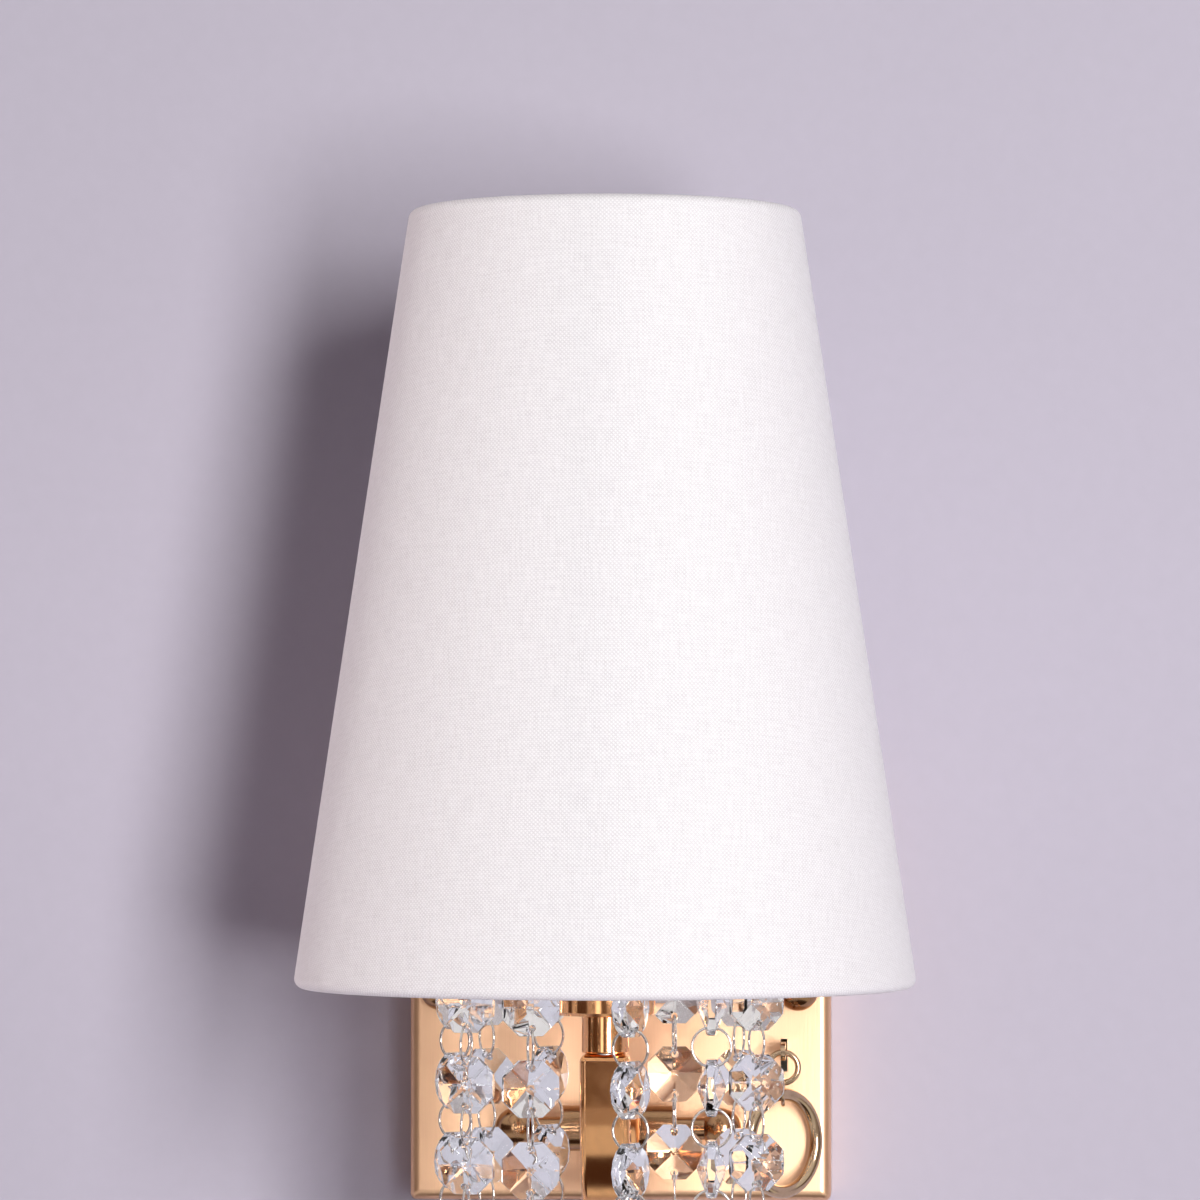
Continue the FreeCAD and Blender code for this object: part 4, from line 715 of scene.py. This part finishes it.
class SCONCE_OT_lampholder(bpy.types.Operator):
    """Makes the threaded skirt, the ribbed shade rings and the bulb, and dresses the rest of the holder"""

    bl_idname = "sconce.lampholder"
    bl_label = "Lampholder and bulb"

    def execute(self, context):
        white = finish("holder_moulding", (0.84, 0.83, 0.79), 0.3, grain=1200, grain_depth=0.15,
                       spread=0.08, mark_depth=0.05)
        dress(white, "lampholder_base")
        dress(finish("porcelain", (0.82, 0.80, 0.75), 0.18, grain=300, spread=0.06, marks=80.0,
                     mark_depth=0.06, Coat_Weight=0.5), "lampholder_insert")
        dress(finish("contact_brass", (0.75, 0.53, 0.24), 0.28, 1.0, grain=600, grain_depth=0.2,
                     spread=0.14, marks=200.0, mark_depth=0.25), "centre_contact", "screw_shell")
        self.skirt(white)
        self.shade_rings(white)
        self.bulb()
        return {"FINISHED"}

    def skirt(self, material):
        """Tube with a round thread on its outside and a small lip at its top."""
        low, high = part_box("lampholder_skirt")
        outer = half_width("lampholder_skirt")
        inner = outer - 1.6 * MM
        lip = inner - 0.9 * MM
        profile = np.concatenate([
            upright_wall(outer, low.z, high.z - 0.8 * MM, 150),
            [[outer - 0.3 * MM, high.z - 0.2 * MM], [outer - 1 * MM, high.z], [inner - 0.7 * MM, high.z],
             [lip, high.z - 0.3 * MM], [lip, high.z - 1.4 * MM], [inner, high.z - 1.7 * MM],
             [inner, low.z + 0.2 * MM]]])
        plain_end = 2 * MM
        thread = screw_thread(outer, low.z + plain_end, high.z - plain_end, pitch=2 * MM, depth=0.5 * MM)
        piece("lampholder_thread", turned(profile, SKIRT_SIDES, thread), material, "fixture",
              "lampholder_skirt")

    def shade_rings(self, material):
        """Two rings with finger ribs: radius falls by a clipped cosine of 36 ribs round the edge."""
        ribs = 36
        low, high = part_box("shade_rings")
        outer = half_width("shade_rings")
        edge = outer - 0.6 * MM
        clearance = 0.05 * MM
        inner = reach_at("lampholder_skirt", low.z, within=30 * MM) + clearance
        between = 1.6 * MM
        thick = (high.z - low.z - between) / 2

        def bulge(turn, profile):
            """Ribs on the outer edge only."""
            on_edge = profile[:, :1] > outer - 0.1 * MM
            return on_edge * -0.5 * MM * np.clip(0.5 + 1.2 * np.cos(ribs * turn), 0, 1)

        section = np.array([[inner, 0], [edge, 0], [outer, 0.5 * MM], [outer, thick / 2],
                            [outer, thick - 0.5 * MM], [edge, thick], [inner, thick]])
        surfaces = [turned(section + [0, base], CLOTH_SIDES, bulge) for base in (low.z, high.z - thick)]
        piece("shade_rings_ribbed", joined(surfaces), material, "fixture", "shade_rings",
              smooth=False)

    def bulb(self):
        """Opal candle glass, rolled cap with its thread, black insulator and solder tip."""
        dress(finish("opal_glass", (0.90, 0.89, 0.86), 0.16, grain=200, grain_depth=0.04, spread=0.05,
                     marks=40.0, mark_depth=0.04, Coat_Weight=0.6), "bulb_glass")
        metal = finish("cap_metal", (0.72, 0.71, 0.69), 0.3, 1.0, grain=(500, 500, 2500), grain_depth=0.25,
                       spread=0.15, marks=150.0, mark_depth=0.2)
        low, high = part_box("bulb_cap")
        radius = half_width("bulb_cap")
        near_axis = 0.01 * MM
        foot = low.z + 1.5 * MM
        profile = np.concatenate([
            [[near_axis, low.z], [radius - 1.5 * MM, low.z]],
            upright_wall(radius, foot, high.z - 1.2 * MM, 120),
            [[radius - 0.3 * MM, high.z - 0.3 * MM], [radius - 0.5 * MM, high.z], [near_axis, high.z]]])
        thread = screw_thread(radius, foot, high.z - 4 * MM, pitch=2.82 * MM, depth=0.7 * MM)
        piece("bulb_cap_rolled", turned(profile, CAP_SIDES, thread), metal, "bulb", "bulb_cap")
        dress(finish("black_glass", (0.02, 0.02, 0.022), 0.12, grain=400, grain_depth=0.05, spread=0.05,
                     marks=100.0), "bulb_insulator")
        dress(finish("solder", (0.62, 0.62, 0.63), 0.34, 1.0, grain=1500, grain_depth=0.4, spread=0.2,
                     marks=700.0, mark_depth=0.3), "bulb_tip")


# ---- Inside the plate


class SCONCE_OT_wiring(bpy.types.Operator):
    """Dresses the bracket, studs, terminals, switch, earth and wires behind the plate"""

    bl_idname = "sconce.wiring"
    bl_label = "Bracket and wiring"

    def execute(self, context):
        zinc = finish("zinc_steel", context.scene.sconce_metals.zinc, 0.36, 1.0, grain=(260, 260, 1400),
                      grain_depth=0.3, spread=0.2, marks=70.0, mark_depth=0.25)
        dress(zinc, "wall_bracket", "fixing_studs", "terminal_screws", "earth_screw", "root_lock_nut",
              "root_tube", "top_tube")
        dress(finish("tinned_brass", (0.70, 0.66, 0.58), 0.32, 1.0, grain_depth=0.2, spread=0.15,
                     marks=200.0, mark_depth=0.2), "earth_tag")
        dress(finish("grommet_rubber", (0.035, 0.035, 0.037), 0.7, grain=1800, grain_depth=0.35,
                     marks=90.0, mark_depth=0.3), "cable_grommet")
        dress(finish("white_plastic", (0.80, 0.79, 0.76), 0.42, grain=2200, grain_depth=0.35, spread=0.08,
                     marks=50.0, mark_depth=0.06), "terminal_block", "switch_body")
        brown, blue = (0.16, 0.06, 0.03), (0.05, 0.16, 0.50)
        for name, colour in (("wire_neutral", blue), ("wire_switched", brown), ("wire_supply", brown)):
            dress(finish(name + "_cover", colour, 0.38, grain=300, grain_depth=0.15, marks=120.0,
                         mark_depth=0.12), name)
        dress(self.striped(), "wire_earth")
        return {"FINISHED"}

    def striped(self):
        """Green insulation with a yellow stripe: a wave across the wire, steep enough for hard edges."""
        green, yellow = (0.07, 0.30, 0.05), (0.75, 0.60, 0.04)
        rate, steepness = 2300.0, 8.0
        material = finish("wire_earth_cover", green, 0.38, grain=300, grain_depth=0.15, marks=120.0)
        tree = material.node_tree
        place = node(tree, "ShaderNodeTexCoord").outputs["Object"]
        split = node(tree, "ShaderNodeSeparateXYZ", {0: place})
        slant = calc(tree, "ADD", split.outputs["X"], split.outputs["Z"])
        wave = calc(tree, "SINE", calc(tree, "MULTIPLY", slant, rate))
        hard = calc(tree, "MULTIPLY", wave, steepness, clamp=True)
        stripes = mixed_colour(tree, hard, (*green, 1), (*yellow, 1))
        tree.links.new(stripes, only(tree, "GROUP").inputs["Colour"])
        lay_out(tree)
        return material


# ---- Stage

# Brightness of the mirrored room by the direction's height, straight down to straight up, and at eye
# level from left to right
ROOM_BANDS = ((-1.0, 0.80), (-0.99, 0.06), (-0.80, 0.06), (-0.76, 0.63), (-0.44, 0.63), (-0.40, 0.33),
              (-0.17, 0.33), (-0.14, 0.12), (0.28, 0.12), (0.34, 0.65), (1.0, 0.85))
ROOM_ACROSS = ((-1.0, 0.06), (-0.90, 0.07), (-0.44, 0.11), (-0.36, 0.15), (-0.29, 2.00), (-0.16, 2.00),
               (-0.11, 0.10), (0.10, 0.10), (0.14, 0.50), (0.50, 0.50), (0.85, 0.36), (1.0, 0.15))
# Share of the pale room that light through glass sees instead of the wall or the mirrored room
VEIL = 0.7

# The wall stands just behind the plate and bends into the floor: y and z in metres
WALL_BACK = 0.5 * MM
WALL_TOP = 1.9
WALL_HALF = 3.2
BEND = 0.35
FLOOR = -1.3
FLOOR_STEPS = (-1.5, -4.5)

# The photograph's frame in pixels, its point level with the camera and straight ahead, and the frame's
# width in millimetres
FRAME_PIXELS = 1200
LEVEL_POINT = (888.9, 738.0)
SENSOR = 36.0


class StageSettings(bpy.types.PropertyGroup):
    """The wall, the light and the camera."""

    wall: tint("Wall", "Colour of the painted wall", (0.53, 0.491, 0.571))
    key_power: number("Key light", "Power of the tall softbox on the right, in watts", 60.5)
    key_turn: angle("Key turn", "Tall softbox to the right of straight ahead", 20.4)
    key_rise: angle("Key rise", "Tall softbox above level", 5)
    left_power: number("Left light", "Power of the softbox on the left, in watts", 12.4)
    back_power: number("Back light", "Power of the softbox behind the wall, in watts", 9.0)
    fill: number("Fill", "Strength of the soft light from all round", 0.042)
    pale_room: tint("Pale room", "Colour of the room beyond the wall", (0.71, 0.70, 0.79))
    camera_place: FloatVectorProperty(name="Camera", description="Where the camera stands",
                                      default=(0.0709, -1.600, 0.0663), subtype="TRANSLATION", size=3)
    lens: number("Lens", "Focal length on a 36 mm frame", 180.0)


class SCONCE_OT_stage(bpy.types.Operator):
    """Sets the painted wall with its floor, the soft light and the camera"""

    bl_idname = "sconce.stage"
    bl_label = "Wall, light and camera"

    def execute(self, context):
        settings = context.scene.sconce_stage
        self.wall(self.wall_paint(settings))
        self.world(context.scene, settings)
        self.softbox("key_softbox", settings.key_power, size=(0.52, 1.4), distance=2.4,
                     turn=settings.key_turn, rise=settings.key_rise)
        side = self.softbox("left_softbox", settings.left_power, size=(0.10, 1.0), distance=1.6,
                            turn=-math.pi / 2, rise=math.radians(5), colour=(1.0, 0.88, 0.86))
        side.visible_glossy = False
        self.softbox("back_softbox", settings.back_power, size=(0.8, 0.8), distance=1.4,
                     turn=math.pi - 0.3, rise=math.radians(20))
        self.camera(context.scene, settings)
        context.scene.view_settings.view_transform = "Standard"
        return {"FINISHED"}

    def wall(self, paint):
        """Wall behind the plate, curved into a floor: a quarter circle between two straight runs.

        An opening that the plate covers lets light in to the bracket and the wiring from behind."""
        curve = arc([WALL_BACK - BEND, FLOOR + BEND], BEND, 0, -math.pi / 2, 24)
        low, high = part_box("backplate")
        rim = 4 * MM
        line = np.concatenate([[[WALL_BACK, WALL_TOP], [WALL_BACK, high.z - rim], [WALL_BACK, low.z + rim]],
                               curve, [[end, FLOOR] for end in FLOOR_STEPS]])
        side_steps = 5
        across = np.concatenate([np.linspace(-WALL_HALF, low.x + rim, side_steps),
                                 np.linspace(high.x - rim, WALL_HALF, side_steps)])
        width = len(across)
        points = np.column_stack([np.tile(across, len(line)), np.repeat(line, width, axis=0)])
        opening = (width - 1) + (side_steps - 1)  # second row of quads, middle column
        quads = np.delete(grid_quads(len(line), width, closed=False), opening, axis=0)
        mesh = bpy.data.meshes.new("painted_wall")
        mesh.from_pydata(points.tolist(), [], quads.tolist())
        mesh.polygons.foreach_set("use_smooth", np.full(len(mesh.polygons), True))
        if mesh.polygons[0].normal.y > 0:
            mesh.flip_normals()
        mesh.materials.append(paint)
        linked("painted_wall", mesh)

    def wall_paint(self, settings):
        """Matt paint that is clear from behind, so that the lamp's back can be looked at.

        Metal mirrors the room below the wall instead of the floor, the floor is as pale as the room,
        and light through glass sees the wall behind a pale veil."""
        material = finish("wall_paint", settings.wall, 0.75, grain=220, grain_depth=0.08, spread=0.05,
                          marks=7.0, mark_depth=0.05, Specular_IOR_Level=0.0)
        tree = material.node_tree
        rays = node(tree, "ShaderNodeLightPath").outputs
        side = node(tree, "ShaderNodeNewGeometry").outputs
        height = node(tree, "ShaderNodeSeparateXYZ", {0: side["Position"]}).outputs["Z"]
        on_floor = calc(tree, "LESS_THAN", height, FLOOR + BEND)
        veil = calc(tree, "MULTIPLY", rays["Is Transmission Ray"], VEIL)
        seen_floor = calc(tree, "MULTIPLY", on_floor, rays["Is Camera Ray"])
        glow = node(tree, "ShaderNodeEmission", {"Color": (*settings.pale_room, 1)}).outputs[0]
        paint = mixed_shader(tree, calc(tree, "MAXIMUM", veil, seen_floor),
                             only(tree, "BSDF_PRINCIPLED").outputs[0], glow)
        mirrored = calc(tree, "MULTIPLY", on_floor, rays["Is Glossy Ray"])
        clear = node(tree, "ShaderNodeBsdfTransparent").outputs[0]
        whole = mixed_shader(tree, calc(tree, "MAXIMUM", mirrored, side["Backfacing"]), paint, clear)
        tree.links.new(whole, only(tree, "OUTPUT_MATERIAL").inputs["Surface"])
        lay_out(tree)
        return material

    def world(self, scene, settings):
        """Even fill for the surfaces, and a room for what is seen directly, mirrored or through glass.

        The mirrored room is bands by height. Near eye level it turns into panels and gaps from left to
        right, by the share 12 (0.25 - |z - 0.07|), held from 0 to 1. Light through glass sees the same
        room behind a pale veil."""
        world = bpy.data.worlds.new("room")
        scene.world = world
        world.use_nodes = True
        world.cycles.sampling_method = "NONE"
        tree = world.node_tree
        tree.nodes.clear()
        rays = node(tree, "ShaderNodeLightPath").outputs
        generated = node(tree, "ShaderNodeTexCoord").outputs["Generated"]
        way = node(tree, "ShaderNodeSeparateXYZ", {0: generated}).outputs
        eye_level, reach, fade = 0.07, 0.25, 12.0
        off_level = calc(tree, "ABSOLUTE", calc(tree, "SUBTRACT", way["Z"], eye_level))
        at_level = calc(tree, "MULTIPLY_ADD", off_level, -fade, fade * reach, clamp=True)
        mirrored_room = mixed_colour(tree, at_level, self.ramp(tree, way["Z"], ROOM_BANDS),
                                     self.ramp(tree, way["X"], ROOM_ACROSS))
        pale = (*settings.pale_room, 1)
        veil = calc(tree, "MULTIPLY", rays["Is Transmission Ray"], VEIL)
        veiled = mixed_colour(tree, veil, mirrored_room, pale)
        even = node(tree, "ShaderNodeBackground", {"Color": (1.0, 0.93, 0.92, 1), "Strength": settings.fill})
        room = node(tree, "ShaderNodeBackground", {"Color": veiled})
        beyond = node(tree, "ShaderNodeBackground", {"Color": pale})
        mirrored = calc(tree, "MAXIMUM", rays["Is Glossy Ray"], rays["Is Transmission Ray"])
        lit = mixed_shader(tree, mirrored, even.outputs[0], room.outputs[0])
        seen = mixed_shader(tree, rays["Is Camera Ray"], lit, beyond.outputs[0])
        node(tree, "ShaderNodeOutputWorld", {"Surface": seen})
        lay_out(tree)

    def ramp(self, tree, direction, bands):
        """Colour by one part of the view's direction, from -1 to 1: dark bands warm, bright ones white.

        A band's green and blue are its light times 1 - 0.60 d and 1 - 0.85 d, with d = (1 - light)^4."""
        share = calc(tree, "MULTIPLY_ADD", direction, 0.5, 0.5, clamp=True)
        made = node(tree, "ShaderNodeValToRGB", {"Fac": share})
        stops = made.color_ramp.elements
        stops[1].position = 1.0
        for position, _ in bands[1:-1]:
            stops.new((position + 1) / 2)
        for stop, (_, light) in zip(stops, bands):
            dim = max(0.0, 1 - light) ** 4
            stop.color = (light, light * (1 - 0.60 * dim), light * (1 - 0.85 * dim), 1)
        return made.outputs["Color"]

    def softbox(self, name, power, size, distance, turn, rise, colour=(1.0, 1.0, 1.0)):
        """A softbox that faces the lamp from a turn to the right and a rise above level."""
        aim = Vector((0, -0.06, 0.05))  # in front of the plate, in the shade's lower half
        way = Vector((math.sin(turn) * math.cos(rise), -math.cos(turn) * math.cos(rise), math.sin(rise)))
        light = bpy.data.lights.new(name, "AREA")
        light.shape = "RECTANGLE"
        light.energy = power
        light.color = colour
        light.size, light.size_y = size
        item = linked(name, light)
        item.location = aim + way * distance
        item.rotation_euler = way.to_track_quat("Z", "Y").to_euler()
        item.visible_camera = False
        return item

    def camera(self, scene, settings):
        """Camera level with the lamp, turned so that the shade stands where the photograph has it."""
        lens = bpy.data.cameras.new("camera")
        lens.lens = settings.lens
        lens.sensor_width = SENSOR
        lens.clip_start = 0.01
        item = linked("camera", lens)
        item.location = settings.camera_place
        focal_pixels = settings.lens / SENSOR * FRAME_PIXELS
        middle = FRAME_PIXELS / 2
        right, down = LEVEL_POINT
        aim = Vector(((middle - right) / focal_pixels, 1.0, (down - middle) / focal_pixels))
        item.rotation_euler = (-aim).to_track_quat("Z", "Y").to_euler()
        scene.camera = item


# ---- Panel, registration and the run


class SCONCE_PT_panel(bpy.types.Panel):
    """Lists the lamp's pieces and their settings"""

    bl_idname = "SCONCE_PT_panel"
    bl_label = "Crystal sconce"
    bl_space_type = "VIEW_3D"
    bl_region_type = "UI"
    bl_category = "Sconce"

    def draw(self, context):
        layout = self.layout
        for operator in OPERATORS:
            layout.operator(operator.bl_idname)
        for pointer, group in SETTINGS:
            box = layout.box()
            box.label(text=group.bl_rna.name)
            for name in group.__annotations__:
                box.prop(getattr(context.scene, pointer), name)


OPERATORS = (SCONCE_OT_linen_shade, SCONCE_OT_crystal_strings, SCONCE_OT_metalwork, SCONCE_OT_pull,
             SCONCE_OT_lampholder, SCONCE_OT_wiring, SCONCE_OT_stage)
SETTINGS = (("sconce_shade", ShadeSettings), ("sconce_crystals", CrystalSettings),
            ("sconce_metals", MetalSettings), ("sconce_stage", StageSettings))


def register():
    """Registers the settings, the operators and the panel."""
    for pointer, group in SETTINGS:
        bpy.utils.register_class(group)
        setattr(bpy.types.Scene, pointer, PointerProperty(type=group))
    for item in OPERATORS + (SCONCE_PT_panel,):
        bpy.utils.register_class(item)


def unregister():
    """Takes everything out again."""
    for item in reversed(OPERATORS + (SCONCE_PT_panel,)):
        bpy.utils.unregister_class(item)
    for pointer, group in reversed(SETTINGS):
        delattr(bpy.types.Scene, pointer)
        bpy.utils.unregister_class(group)


def main():
    register()
    for operator in OPERATORS:
        family, name = operator.bl_idname.split(".")
        getattr(getattr(bpy.ops, family), name)()


if __name__ == "__main__":
    main()
